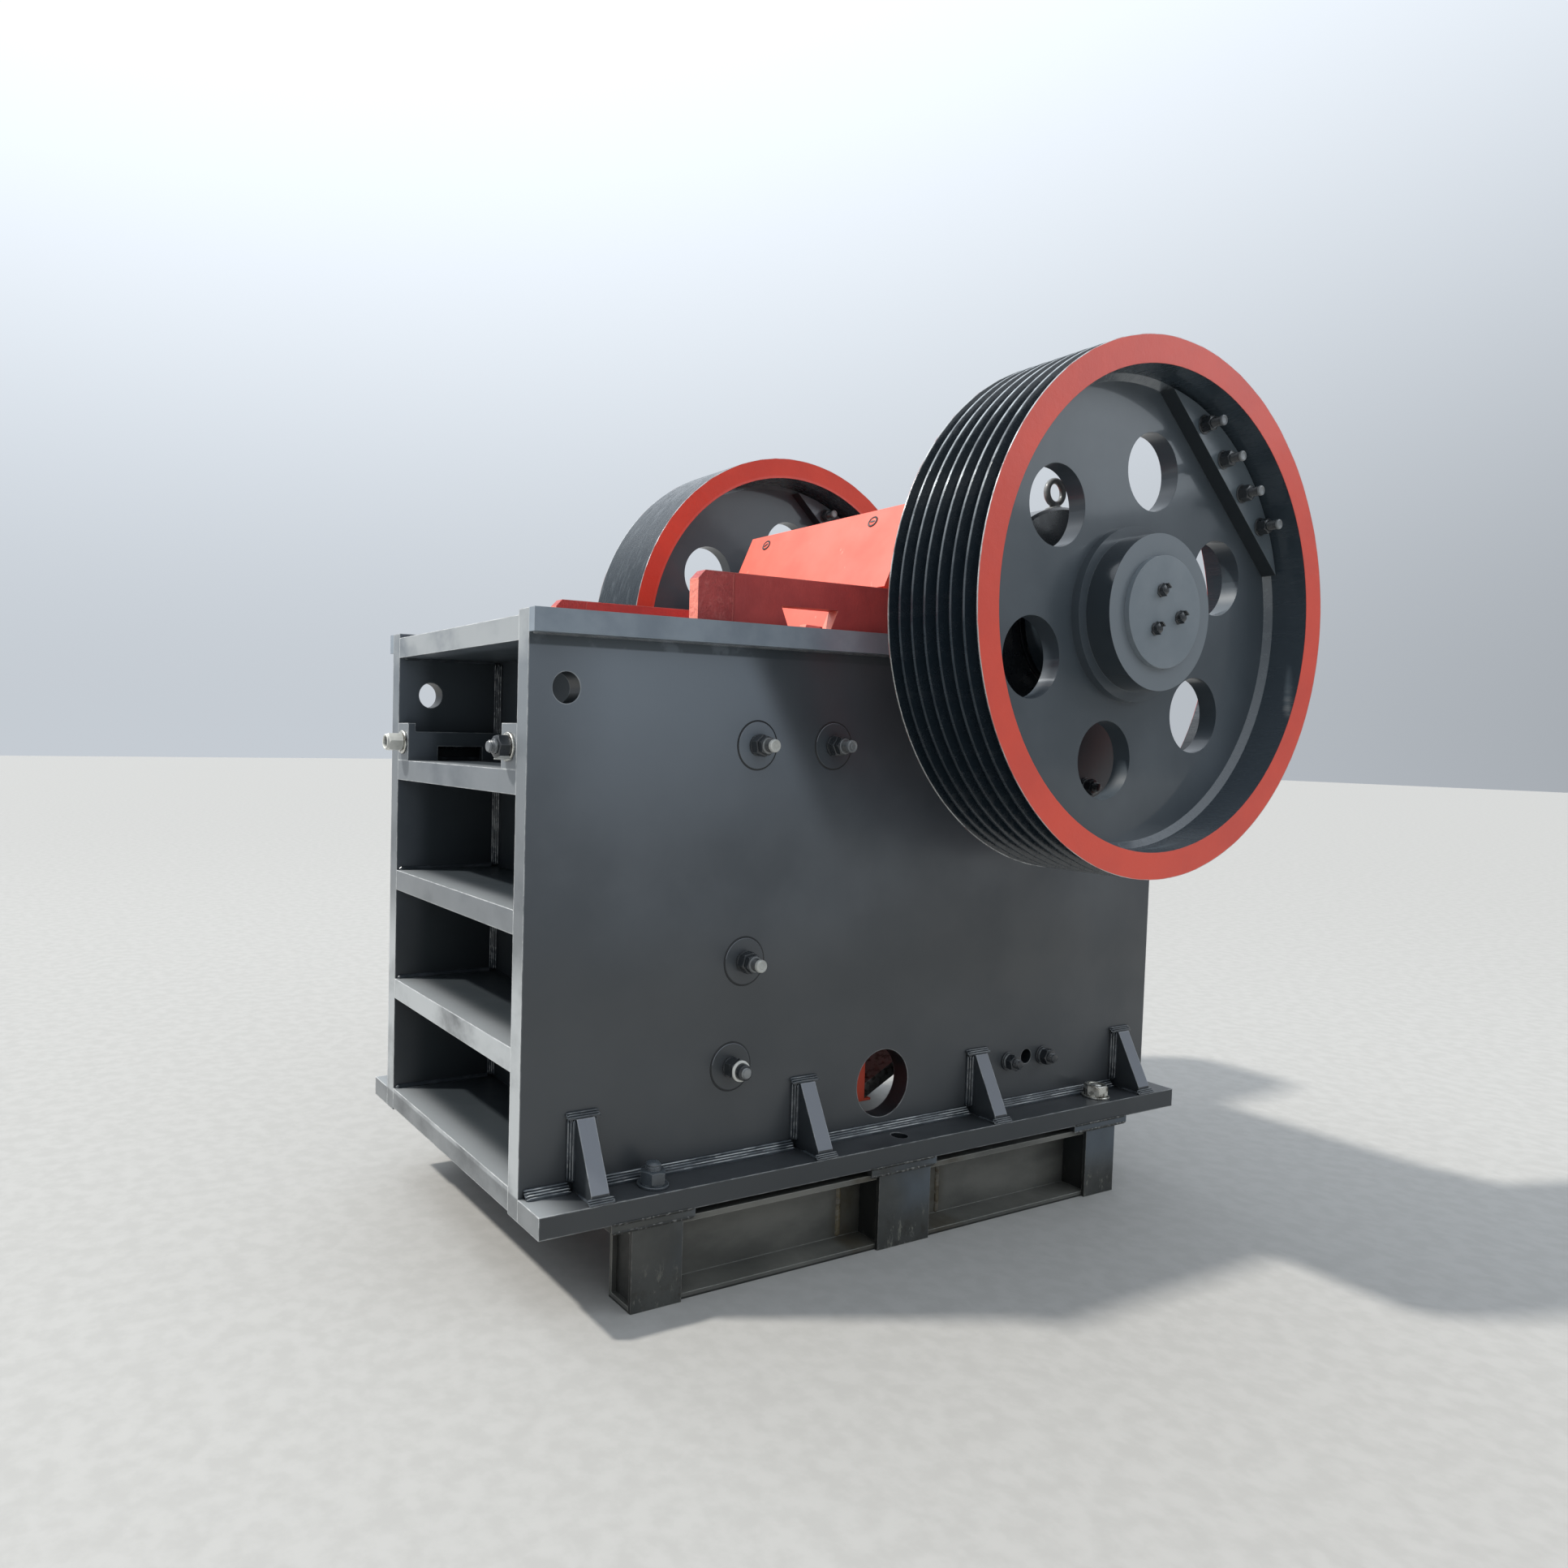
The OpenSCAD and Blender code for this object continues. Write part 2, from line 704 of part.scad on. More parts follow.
module hub_cap_near() color(paint) on_side(false) hub_cap();
module hub_cap_far() color(paint) on_side(true) hub_cap();

// stand channel, open side outward
module stand_channel() {
    flange_y = stand_y + channel_w;
    length = stand_rear - stand_front;
    translate([stand_front, 0, 0]) rotate([90, 0, 90]) linear_extrude(height = length) polygon([
        [stand_y, 0], [flange_y, 0], [flange_y, channel_flange], [stand_y + channel_web, channel_flange],
        [stand_y + channel_web, channel_h - channel_flange], [flange_y, channel_h - channel_flange],
        [flange_y, channel_h], [stand_y, channel_h]]);
}

module stand_channel_near() color(steel) on_side(false) stand_channel();
module stand_channel_far() color(steel) on_side(true) stand_channel();

// an upright plate closing the channel's open side
module post(x, w) {
    translate([x, edge_y - post_t, 0]) cube([w, post_t, channel_h]);
}

module stand_posts() {
    post(stand_front, post_a);
    post(post_mid, post_b);
    post(stand_rear - post_c, post_c);
}

module stand_posts_near() color(steel) on_side(false) stand_posts();
module stand_posts_far() color(steel) on_side(true) stand_posts();

// three packing plates between the channel and the flange
module shims() {
    last = stand_rear - post_c / 2 - shim_l / 2;
    for (x = [shim_front, (shim_front + last) / 2, last])
        translate([x, stand_y, channel_h]) cube([shim_l, edge_y - stand_y, shim_t]);
}

module shims_near() color(steel) on_side(false) shims();
module shims_far() color(steel) on_side(true) shims();

side_plate_near();
side_plate_far();
base_flange_near();
base_flange_far();
top_band_near();
top_band_far();
gussets_near();
gussets_far();
front_rib_1();
front_rib_2();
front_rib_3();
front_rib_4();
front_rib_5();
front_wall();
clamp_bracket_near();
clamp_bracket_far();
fixed_jaw_plate();
cheek_plate_near();
cheek_plate_far();
swing_jaw();
swing_jaw_plate();
guard_plate();
toggle_plate();
toggle_seat();
rear_wall();
rear_rib_low();
rear_rib_top();
tension_rod();
tension_spring();
bearing_housing_near();
bearing_housing_far();
eccentric_shaft();
pulley();
flywheel();
counterweight_near();
counterweight_far();
hub_cap_near();
hub_cap_far();
stand_channel_near();
stand_channel_far();
stand_posts_near();
stand_posts_far();
shims_near();
shims_far();
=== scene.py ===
import math
import random

import bmesh
import bpy
from mathutils import Matrix, Vector

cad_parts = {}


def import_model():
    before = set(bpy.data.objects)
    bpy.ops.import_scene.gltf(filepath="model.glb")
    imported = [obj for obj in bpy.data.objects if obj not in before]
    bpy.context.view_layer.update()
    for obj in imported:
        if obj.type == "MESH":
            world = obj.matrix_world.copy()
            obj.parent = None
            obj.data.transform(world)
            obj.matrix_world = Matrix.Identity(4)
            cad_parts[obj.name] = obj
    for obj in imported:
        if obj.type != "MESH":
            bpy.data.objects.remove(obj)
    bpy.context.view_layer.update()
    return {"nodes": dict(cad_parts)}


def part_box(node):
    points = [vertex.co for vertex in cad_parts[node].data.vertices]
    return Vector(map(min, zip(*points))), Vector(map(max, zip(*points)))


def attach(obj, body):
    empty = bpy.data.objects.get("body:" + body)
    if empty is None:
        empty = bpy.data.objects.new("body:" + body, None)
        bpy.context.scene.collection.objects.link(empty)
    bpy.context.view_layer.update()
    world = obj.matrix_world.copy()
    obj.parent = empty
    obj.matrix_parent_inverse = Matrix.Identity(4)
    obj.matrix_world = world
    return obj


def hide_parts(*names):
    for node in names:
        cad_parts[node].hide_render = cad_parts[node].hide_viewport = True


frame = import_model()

MM = 0.001
SIDES = (("near", -1), ("far", 1))


# Places read from the CAD frame, in metres
def low(node):
    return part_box(node)[0]


def high(node):
    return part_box(node)[1]


FRONT = low("side_plate_far").x
REAR = high("side_plate_far").x
BASE = low("side_plate_far").z
TOP = high("side_plate_far").z
PLATE_IN = low("side_plate_far").y
PLATE_OUT = high("side_plate_far").y
FLANGE_TOP = high("base_flange_far").z
BAND_LOW = low("top_band_far").z
FLANGE_EDGE = high("base_flange_far").y
SHAFT_X = (low("flywheel").x + high("flywheel").x) / 2
SHAFT_Z = (low("flywheel").z + high("flywheel").z) / 2
WHEEL_R = (high("flywheel").x - low("flywheel").x) / 2
WHEEL_IN = low("flywheel").y
WHEEL_OUT = high("flywheel").y
RIM_IN = WHEEL_R - 44 * MM
HUB_R = 126 * MM
RIBS = ("front_rib_1", "front_rib_2", "front_rib_3", "front_rib_4", "front_rib_5")

# In millimetres behind the front edge; bolts also with a height above the flange's underside
GUSSETS = (88, 506, 909, 1304)
FLANGE_WELD = (8, 1387)
SHIMS = ((118, 262), (611, 757), (1112, 1256))
MIDDLE_POST = 632
SEAMS = (594, 822)
LINER_BOLTS = ((407, 689), (563, 690), (393, 348), (372, 182))
SEAT_BOLTS = ((1007, 116), (1099, 117), (1190, 621))
FOUNDATION_FRONT = 208
FOUNDATION_REAR = 1211

# Other lengths in millimetres
GUSSET_T = 30
POST_LENGTHS = (89, 115, 80)
CLAMP_Z = 681
GUARD_BOLTS = (-131, 168)
STUD_R = 334
STUDS = (-114, -38, 38, 114)

# In degrees round the shaft
STUD_ROW = 48
CAP_BOLTS = (-10, 110, -130)
COVER_BOLTS = range(30, 390, 60)


def place(x, z, y=0.0):
    """A point from millimetres behind the front edge and above the flange's underside; y is in metres."""
    return Vector((FRONT + x * MM, y, BASE + z * MM))


def about_shaft(radius, angle, y):
    """A point on a circle about the shaft, from a radius in millimetres and an angle in degrees."""
    a = math.radians(angle)
    return Vector((SHAFT_X + radius * MM * math.cos(a), y, SHAFT_Z + radius * MM * math.sin(a)))


# Materials
class Finish:
    """A node material on one Principled shader, with short ways to add and join nodes."""

    def __init__(self, name, rough=0.5, metal=0.0, coat=0.0, coat_rough=0.1):
        self.material = bpy.data.materials.new(name)
        self.material.use_nodes = True
        self.tree = self.material.node_tree
        self.shader = self.tree.nodes["Principled BSDF"]
        self.set(Roughness=rough, Metallic=metal)
        self.shader.inputs["Coat Weight"].default_value = coat
        self.shader.inputs["Coat Roughness"].default_value = coat_rough
        self.coords = self.tree.nodes.new("ShaderNodeTexCoord")

    def set(self, **values):
        """Sets or links the shader's sockets, each named with _ for a space."""
        for name, value in values.items():
            self.feed(self.shader.inputs[name.replace("_", " ")], value)

    def feed(self, socket, value):
        if isinstance(value, bpy.types.NodeSocket):
            self.tree.links.new(value, socket)
        elif isinstance(value, tuple) and len(value) == 3 and socket.type == "RGBA":
            socket.default_value = (*value, 1.0)
        else:
            socket.default_value = value

    def math(self, operation, a, b=0.0):
        node = self.tree.nodes.new("ShaderNodeMath")
        node.operation = operation
        self.feed(node.inputs[0], a)
        self.feed(node.inputs[1], b)
        return node.outputs[0]

    def times(self, product, *others):
        """The product of two or more values."""
        for other in others:
            product = self.math("MULTIPLY", product, other)
        return product

    def most(self, a, b):
        """The larger of two values."""
        return self.math("MAXIMUM", a, b)

    def size(self, value):
        """A value without its sign."""
        return self.math("ABSOLUTE", value)

    def mix(self, share, a, b):
        """Colour a where share is 0, and b where it is 1."""
        node = self.tree.nodes.new("ShaderNodeMix")
        node.data_type = "RGBA"
        self.feed(node.inputs[0], share)
        self.feed(node.inputs[6], a)
        self.feed(node.inputs[7], b)
        return node.outputs[2]

    def span(self, value, start, end, to_low=0.0, to_high=1.0):
        """A smooth change from to_low to to_high as value goes from start to end."""
        node = self.tree.nodes.new("ShaderNodeMapRange")
        node.interpolation_type = "SMOOTHSTEP"
        for socket, number in zip(node.inputs, (value, start, end, to_low, to_high)):
            self.feed(socket, number)
        return node.outputs[0]

    def patches(self, noise, dark, pale):
        """A colour in soft patches, from dark to pale."""
        return self.mix(self.span(noise, 0.35, 0.7), dark, pale)

    def uneven(self, noise, least, greatest):
        """A value that wanders from least to greatest."""
        return self.span(noise, 0.3, 0.7, least, greatest)

    def noise(self, scale, detail, stretch=(1, 1, 1), rough=0.55):
        """A noise of 0 to 1 in the piece's own coordinates."""
        mapping = self.tree.nodes.new("ShaderNodeMapping")
        mapping.inputs["Scale"].default_value = stretch
        self.feed(mapping.inputs["Vector"], self.coords.outputs["Object"])
        node = self.tree.nodes.new("ShaderNodeTexNoise")
        node.inputs["Scale"].default_value = scale
        node.inputs["Detail"].default_value = detail
        node.inputs["Roughness"].default_value = rough
        self.feed(node.inputs["Vector"], mapping.outputs[0])
        return node.outputs[0]

    def axes(self, source="Object"):
        """The x, y and z of the point, or of its normal."""
        node = self.tree.nodes.new("ShaderNodeSeparateXYZ")
        self.feed(node.inputs[0], self.coords.outputs[source])
        return node.outputs

    def between(self, value, start, end, soft=0.0005):
        """1 where value lies from start to end."""
        rise = self.span(value, start - soft, start + soft)
        fall = self.span(value, end - soft, end + soft, 1.0, 0.0)
        return self.times(rise, fall)

    def rounded(self, radius):
        """The normal as if edges had this radius."""
        node = self.tree.nodes.new("ShaderNodeBevel")
        node.samples = 4
        node.inputs["Radius"].default_value = radius
        return node.outputs[0]

    def edges(self, radius):
        """How near a point lies to an edge, from how far the rounded normal leans off the flat one."""
        flat = self.tree.nodes.new("ShaderNodeNewGeometry").outputs["True Normal"]
        node = self.tree.nodes.new("ShaderNodeVectorMath")
        node.operation = "DOT_PRODUCT"
        self.feed(node.inputs[0], self.rounded(radius))
        self.feed(node.inputs[1], flat)
        return self.span(node.outputs["Value"], 0.99, 0.80)

    def corners(self, color, reach, darkest):
        """The colour darkened where other surfaces stand close: painted shade in corners and recesses."""
        node = self.tree.nodes.new("ShaderNodeAmbientOcclusion")
        node.samples = 6
        node.inputs["Distance"].default_value = reach
        shade = self.span(node.outputs["AO"], 0.10, 0.60, 1.0 - darkest, 0.0)
        return self.mix(shade, color, (0.004, 0.006, 0.008))

    def bump(self, height, strength, depth, normal=None):
        node = self.tree.nodes.new("ShaderNodeBump")
        node.inputs["Strength"].default_value = strength
        node.inputs["Distance"].default_value = depth
        self.feed(node.inputs["Height"], height)
        if normal:
            self.feed(node.inputs["Normal"], normal)
        return node.outputs[0]


GREY_DARK = (0.056, 0.066, 0.078)
GREY_MID = (0.084, 0.097, 0.112)
GREY_PALE = (0.36, 0.38, 0.39)
RED_DARK = (0.390, 0.050, 0.048)
RED_CORAL = (0.80, 0.116, 0.066)
RED_RING = (0.75, 0.078, 0.044)
BLACK = (0.012, 0.019, 0.026)
RIM_GREY = (0.043, 0.058, 0.072)
BRIGHT = (0.62, 0.63, 0.62)


def body_paint(name, wear):
    """Satin blue-grey brush paint over plate: soft patches, pale dust with painted bounce light in front,
    worn edges partly painted as highlights, and painted light and shade.
    """
    f = Finish(name, coat=0.12, coat_rough=0.22)
    x, y, z = f.axes()
    nx, ny, nz = f.axes("Normal")
    out = f.size(y)
    sideways = f.size(ny)
    color = f.patches(f.noise(3.5, 5), GREY_DARK, GREY_MID)

    # Painted light and shade: darker towards the bottom as painted shade, a painted light patch high on the
    # plate, a painted shadow beside the wheel, and painted sky light on sloped faces
    color = f.mix(f.span(z, 0.62, 0.42, 0.0, 0.75), color, (0.046, 0.050, 0.053))
    lean = f.math("ADD", x, f.times(z, 0.57))
    painted_light = f.times(f.span(z, 0.60, TOP - 0.06, 0.0, 0.9), f.span(lean, FRONT + 0.98, FRONT + 0.91),
                    f.span(x, FRONT + 0.02, FRONT + 0.16, 0.5, 1.0))
    color = f.mix(painted_light, color, (0.175, 0.206, 0.240))
    shade = f.times(f.span(lean, FRONT + 0.93, FRONT + 1.0), f.span(z, 0.74, 0.86, 0.0, 0.5))
    color = f.mix(shade, color, (0.022, 0.030, 0.036))
    slope = f.times(f.between(nz, 0.12, 0.85, 0.02), f.span(sideways, 0.4, 0.5))
    color = f.mix(slope, color, (0.185, 0.200, 0.228))

    # Painted shade on the gusset flanks and on the flange's top and side faces, and a painted shadow under
    # the top band
    outside = f.span(out, PLATE_OUT + 1 * MM, PLATE_OUT + 3 * MM)
    flank = f.times(outside, f.span(f.size(nx), 0.9, 0.98, 0.0, 0.8),
                    f.between(z, FLANGE_TOP, FLANGE_TOP + 150 * MM))
    color = f.mix(flank, color, (0.030, 0.036, 0.042))
    shelf = f.times(outside, f.between(z, FLANGE_TOP - 1 * MM, FLANGE_TOP + 1 * MM),
                    f.span(nz, 0.9, 0.98, 0.0, 0.6))
    color = f.mix(shelf, color, (0.034, 0.038, 0.042))
    flange_side = f.times(f.span(z, FLANGE_TOP + 1 * MM, FLANGE_TOP), f.span(sideways, 0.9, 0.98))
    color = f.mix(flange_side, color, (0.034, 0.039, 0.043))
    under = f.times(f.span(out, PLATE_OUT - 2 * MM, PLATE_OUT - 1 * MM),
                    f.between(z, BAND_LOW - 17 * MM, BAND_LOW, 1.5 * MM),
                    f.span(f.noise(30, 4), 0.35, 0.5, 0.5, 0.8))
    color = f.mix(under, color, (0.028, 0.038, 0.046))

    # Near-black insides of the side plates' openings and the flange holes: bare bores, darkened further as
    # painted shade
    bores = f.times(f.between(out, PLATE_IN + 1 * MM, PLATE_OUT - 1 * MM),
                    f.between(x, FRONT + 5 * MM, REAR - 5 * MM),
                    f.between(z, FLANGE_TOP, TOP - 40 * MM), f.span(sideways, 0.5, 0.3))
    holes = f.times(f.between(out, PLATE_OUT + 10 * MM, FLANGE_EDGE - 8 * MM),
                    f.between(x, FRONT + 20 * MM, REAR - 20 * MM),
                    f.span(z, FLANGE_TOP, FLANGE_TOP - 1 * MM), f.span(f.size(nz), 0.5, 0.3))
    color = f.mix(f.most(bores, holes), color, (0.010, 0.013, 0.016))

    # Pale dust brushed on the front faces, stronger low down as painted bounce light from the floor
    at_front = f.span(x, FRONT + 40 * MM, FRONT + 15 * MM)
    ends = f.most(f.span(z, 0.56, 0.44, 0.26, 0.98), f.span(z, TOP - 0.10, TOP - 0.04, 0.0, 0.85))
    dust_and_bounce = f.times(f.span(f.noise(6, 5, (1, 1, 1.3), 0.6), 0.20, 0.58), ends,
                  f.span(z, FLANGE_TOP - 2 * MM, FLANGE_TOP + 2 * MM, 0.40, 1.0))
    color = f.mix(f.times(f.span(nx, -0.9, -0.98), at_front, dust_and_bounce), color, GREY_PALE)
    # Painted sunlight on the ribs' ledges near the front
    sunlit_ledge = f.times(f.span(nz, 0.9, 0.98), f.span(x, FRONT + 80 * MM, FRONT),
                    f.span(z, TOP - 0.06, TOP - 0.10, 0.0, 0.8))
    color = f.mix(sunlit_ledge, color, (0.30, 0.32, 0.33))
    # Painted shade inside the frame behind its front
    inner_shade = f.times(f.span(x, FRONT + 30 * MM, FRONT + 70 * MM, 0.0, 0.7), f.span(x, REAR, REAR - 0.9),
                   f.span(out, PLATE_IN + 2 * MM, PLATE_IN + 1 * MM), f.span(z, TOP - 0.02, TOP - 0.05))
    color = f.mix(inner_shade, color, (0.020, 0.028, 0.033))
    if wear:
        # Pale worn edges, brightest in front, also standing as painted highlight lines along the edges
        worn = f.times(f.edges(3.0 * MM), f.span(f.noise(40, 5), 0.35, 0.60, 0.30, 1.0),
                       f.span(at_front, 0.0, 1.0, 0.6, 1.0))
        color = f.mix(worn, color, (0.72, 0.74, 0.74))
    # Painted shade in corners and recesses
    color = f.corners(color, 0.14, 0.12)
    f.set(Base_Color=color, Roughness=f.uneven(f.noise(9, 5), 0.36, 0.50))
    f.set(Normal=f.bump(f.noise(260, 3), 0.10, 0.4 * MM, f.rounded(1.6 * MM)))
    return f.material


def weld_paint(name, dark, pale, flecks):
    """Paint flowed over weld ripples, glossy, with painted glints in flecks."""
    f = Finish(name, rough=0.26, coat=0.4, coat_rough=0.10)
    color = f.mix(f.span(f.noise(30, 3), 0.4, 0.65), dark, pale)
    # Painted glints, scaled by flecks
    glint = f.times(f.span(f.noise(150, 3, (0.12, 1, 0.5), 0.6), 0.46, 0.60), flecks)
    color = f.mix(glint, color, (0.50, 0.52, 0.52))
    f.set(Base_Color=color, Normal=f.bump(f.noise(200, 3), 0.05, 0.5 * MM))
    return f.material


def weld_bright():
    """Bare weld metal, mostly dark with scale and bright only in flecks."""
    f = Finish("weld_bright", rough=0.45, metal=0.7)
    color = f.mix(f.span(f.noise(170, 5), 0.50, 0.66), (0.045, 0.046, 0.044), (0.20, 0.20, 0.19))
    f.set(Base_Color=color, Normal=f.bump(f.noise(420, 4), 0.5, 0.8 * MM))
    return f.material


def liner_red():
    """Dark red primer over cast steel, rougher towards the liner's front end, with painted sunlight on its
    front faces and painted highlights on the rough end's grain.
    """
    f = Finish("liner_red", coat=0.1, coat_rough=0.3)
    color = f.patches(f.noise(14, 5), RED_DARK, (0.50, 0.068, 0.062))
    color = f.mix(f.times(f.edges(2.5 * MM), 0.6), color, (0.80, 0.26, 0.20))
    # Painted sunlight on the faces turned to the front
    nx = f.axes("Normal")[0]
    color = f.mix(f.span(nx, -0.7, -0.95, 0.0, 0.95), color, (0.95, 0.29, 0.21))
    rough_end = f.between(f.axes()[0], FRONT + 300 * MM, FRONT + 377 * MM, 3 * MM)
    specks = f.times(f.span(f.noise(160, 5, (0.7, 1, 1), 0.7), 0.50, 0.62), rough_end)
    color = f.mix(f.times(specks, 0.25), color, (0.16, 0.022, 0.022))
    grain = f.noise(85, 6, (1.4, 1, 0.8), 0.7)
    # Painted highlights on the high points of the rough end's grain
    lit_crests = f.times(f.span(grain, 0.52, 0.64), rough_end)
    color = f.mix(f.times(lit_crests, 0.35), color, (0.62, 0.16, 0.14))
    pits = f.times(grain, f.span(rough_end, 0, 1, 0.30, 1.0))
    f.set(Base_Color=color, Roughness=f.uneven(f.noise(30, 4), 0.42, 0.62))
    f.set(Normal=f.bump(pits, 1.0, 4.0 * MM, f.rounded(2 * MM)))
    return f.material


def jaw_red():
    """Coral red paint, slightly wavy, with a few pale scuffs."""
    f = Finish("jaw_red", coat=0.10, coat_rough=0.3)
    color = f.patches(f.noise(6, 4), RED_CORAL, (0.70, 0.092, 0.052))
    scuffs = f.times(f.span(f.noise(45, 8, (1, 1, 0.5), 0.7), 0.64, 0.72), 0.6)
    color = f.mix(scuffs, color, (0.80, 0.33, 0.26))
    f.set(Base_Color=color, Roughness=f.uneven(f.noise(12, 4), 0.42, 0.56))
    f.set(Normal=f.bump(f.noise(7, 3), 0.35, 6 * MM, f.rounded(1.5 * MM)))
    return f.material


def wheel_finish(name, grooved):
    """Both wheels: black tread, blue-grey bore and web, red side rings, thin bright machined edges, a painted
    highlight high on the pulley's tread and painted reflection streaks on the flywheel's.
    """
    f = Finish(name, coat_rough=0.08)
    x, y, z = f.axes()
    out = f.size(y)
    flat = f.size(f.axes("Normal")[1])
    dx = f.math("SUBTRACT", x, SHAFT_X)
    dz = f.math("SUBTRACT", z, SHAFT_Z)
    r = f.math("SQRT", f.math("ADD", f.times(dx, dx), f.times(dz, dz)))

    # Colours from the hub outwards, and the red rings on both sides of the rim
    color = f.patches(f.noise(4, 4), (0.046, 0.060, 0.073), (0.074, 0.091, 0.107))
    neck = f.times(f.span(flat, 0.5, 0.3), f.span(r, HUB_R + 4 * MM, HUB_R))
    color = f.mix(neck, color, (0.030, 0.040, 0.049))
    face = f.times(f.span(flat, 0.8, 0.95), f.span(r, HUB_R + 1 * MM, HUB_R - 1 * MM))
    color = f.mix(face, color, (0.150, 0.175, 0.197))
    bore = f.span(r, RIM_IN - 6 * MM, RIM_IN - 3 * MM)
    color = f.mix(bore, color, RIM_GREY)
    tread_zone = f.span(r, RIM_IN + 4 * MM, RIM_IN + 6 * MM)
    color = f.mix(tread_zone, color, BLACK)
    slope = f.times(f.between(flat, 0.4, 0.9, 0.05), f.between(r, RIM_IN - 12 * MM, RIM_IN + 1 * MM))
    color = f.mix(slope, color, (0.115, 0.132, 0.147))
    side = f.most(f.span(out, WHEEL_OUT - 0.6 * MM, WHEEL_OUT - 0.3 * MM),
                  f.span(out, WHEEL_IN + 0.3 * MM, WHEEL_IN + 0.6 * MM, 1.0, 0.0))
    ring = f.times(side, f.span(r, RIM_IN - 1 * MM, RIM_IN - 0.5 * MM))
    coat = 0.35 if grooved else f.span(tread_zone, 0.0, 1.0, 0.35, 0.08)
    f.set(Coat_Weight=f.times(coat, f.span(ring, 0.0, 1.0, 1.0, 0.15)))
    red = f.patches(f.noise(6, 4), RED_RING, (0.66, 0.068, 0.042))
    color = f.mix(ring, color, red)

    # Bright machined edges, and a painted highlight on the pulley's tread ridges, strongest high up
    tread = f.span(r, WHEEL_R - 1.2 * MM, WHEEL_R - 0.7 * MM)
    edge = f.most(f.span(out, WHEEL_OUT - 2.4 * MM, WHEEL_OUT - 2.0 * MM),
                  f.span(out, WHEEL_IN + 2.0 * MM, WHEEL_IN + 2.4 * MM, 1.0, 0.0))
    broken = f.span(f.noise(25, 4), 0.35, 0.60, 0.20, 1.0)
    shine = f.times(tread, edge, broken)
    if grooved:
        lit_crests = f.times(tread, broken, f.span(z, SHAFT_Z, SHAFT_Z + 0.36, 0.04, 0.85))
        color = f.mix(lit_crests, color, (0.42, 0.47, 0.50))
    color = f.mix(shine, color, BRIGHT)

    # Gloss on the rim, satin on the web and hub, pale brush streaks with painted reflection on the flywheel's
    # tread
    streaks = f.noise(60, 6, (1.0, 0.10, 1.0) if grooved else (0.5, 1.6, 0.5), 0.68)
    satin = f.times(f.span(r, RIM_IN - 12 * MM, RIM_IN - 8 * MM, 0.40, 0.0),
                    f.span(neck, 0.0, 1.0, 1.0, 0.45))
    glossy = f.times(f.span(streaks, 0.35, 0.65, 0.08, 0.34),
                     f.span(r, RIM_IN - 20 * MM, RIM_IN - 12 * MM))
    rough = f.most(glossy, satin)
    if not grooved:
        # Pale brush streaks on the tread, also standing as painted reflection streaks
        marks_and_sheen = f.times(f.span(f.noise(30, 7, (0.5, 2.4, 0.5), 0.75), 0.50, 0.72), tread)
        color = f.mix(f.times(marks_and_sheen, f.span(shine, 0.0, 1.0, 0.6, 0.0)), color, (0.095, 0.112, 0.125))
        f.set(Specular_IOR_Level=f.span(tread_zone, 0.0, 1.0, 0.5, 0.22))
    f.set(Base_Color=color, Roughness=f.most(rough, f.times(ring, 0.42)))
    f.set(Metallic=f.times(shine, 0.9))
    ripple = f.times(streaks, f.span(r, RIM_IN - 12 * MM, RIM_IN, 0.15, 1.0))
    f.set(Normal=f.bump(ripple, 0.35 if grooved else 0.7, 1.8 * MM, f.rounded(1.2 * MM)))
    return f.material


def plain_paint(name, dark, pale, rough, edge=0.35, sides=None):
    """Paint with soft patches and light edges, worn and painted as highlights, for small parts; sides is a
    painted shade on what doesn't face along Y.
    """
    f = Finish(name, coat=0.2, coat_rough=0.15)
    color = f.patches(f.noise(12, 4), dark, pale)
    # Painted shade on faces that don't face along Y
    if sides:
        color = f.mix(f.span(f.size(f.axes("Normal")[1]), 0.9, 0.7), color, sides)
    # Light edges: wear and painted highlights
    color = f.mix(f.times(f.edges(1.5 * MM), edge), color, GREY_PALE)
    f.set(Base_Color=color, Roughness=f.uneven(f.noise(40, 4), rough - 0.06, rough + 0.08))
    f.set(Normal=f.bump(f.noise(200, 3), 0.15, 0.4 * MM, f.rounded(1.2 * MM)))
    return f.material


def bare_steel(name, pale, dark, rough):
    """Machined or rolled steel with dark stain in patches."""
    f = Finish(name, metal=1.0)
    stain = f.span(f.noise(90, 6), 0.45, 0.70)
    f.set(Base_Color=f.mix(stain, pale, dark))
    f.set(Roughness=f.uneven(f.noise(150, 4), rough - 0.08, rough + 0.12))
    f.set(Normal=f.bump(f.noise(400, 3), 0.2, 0.3 * MM, f.rounded(0.8 * MM)))
    return f.material


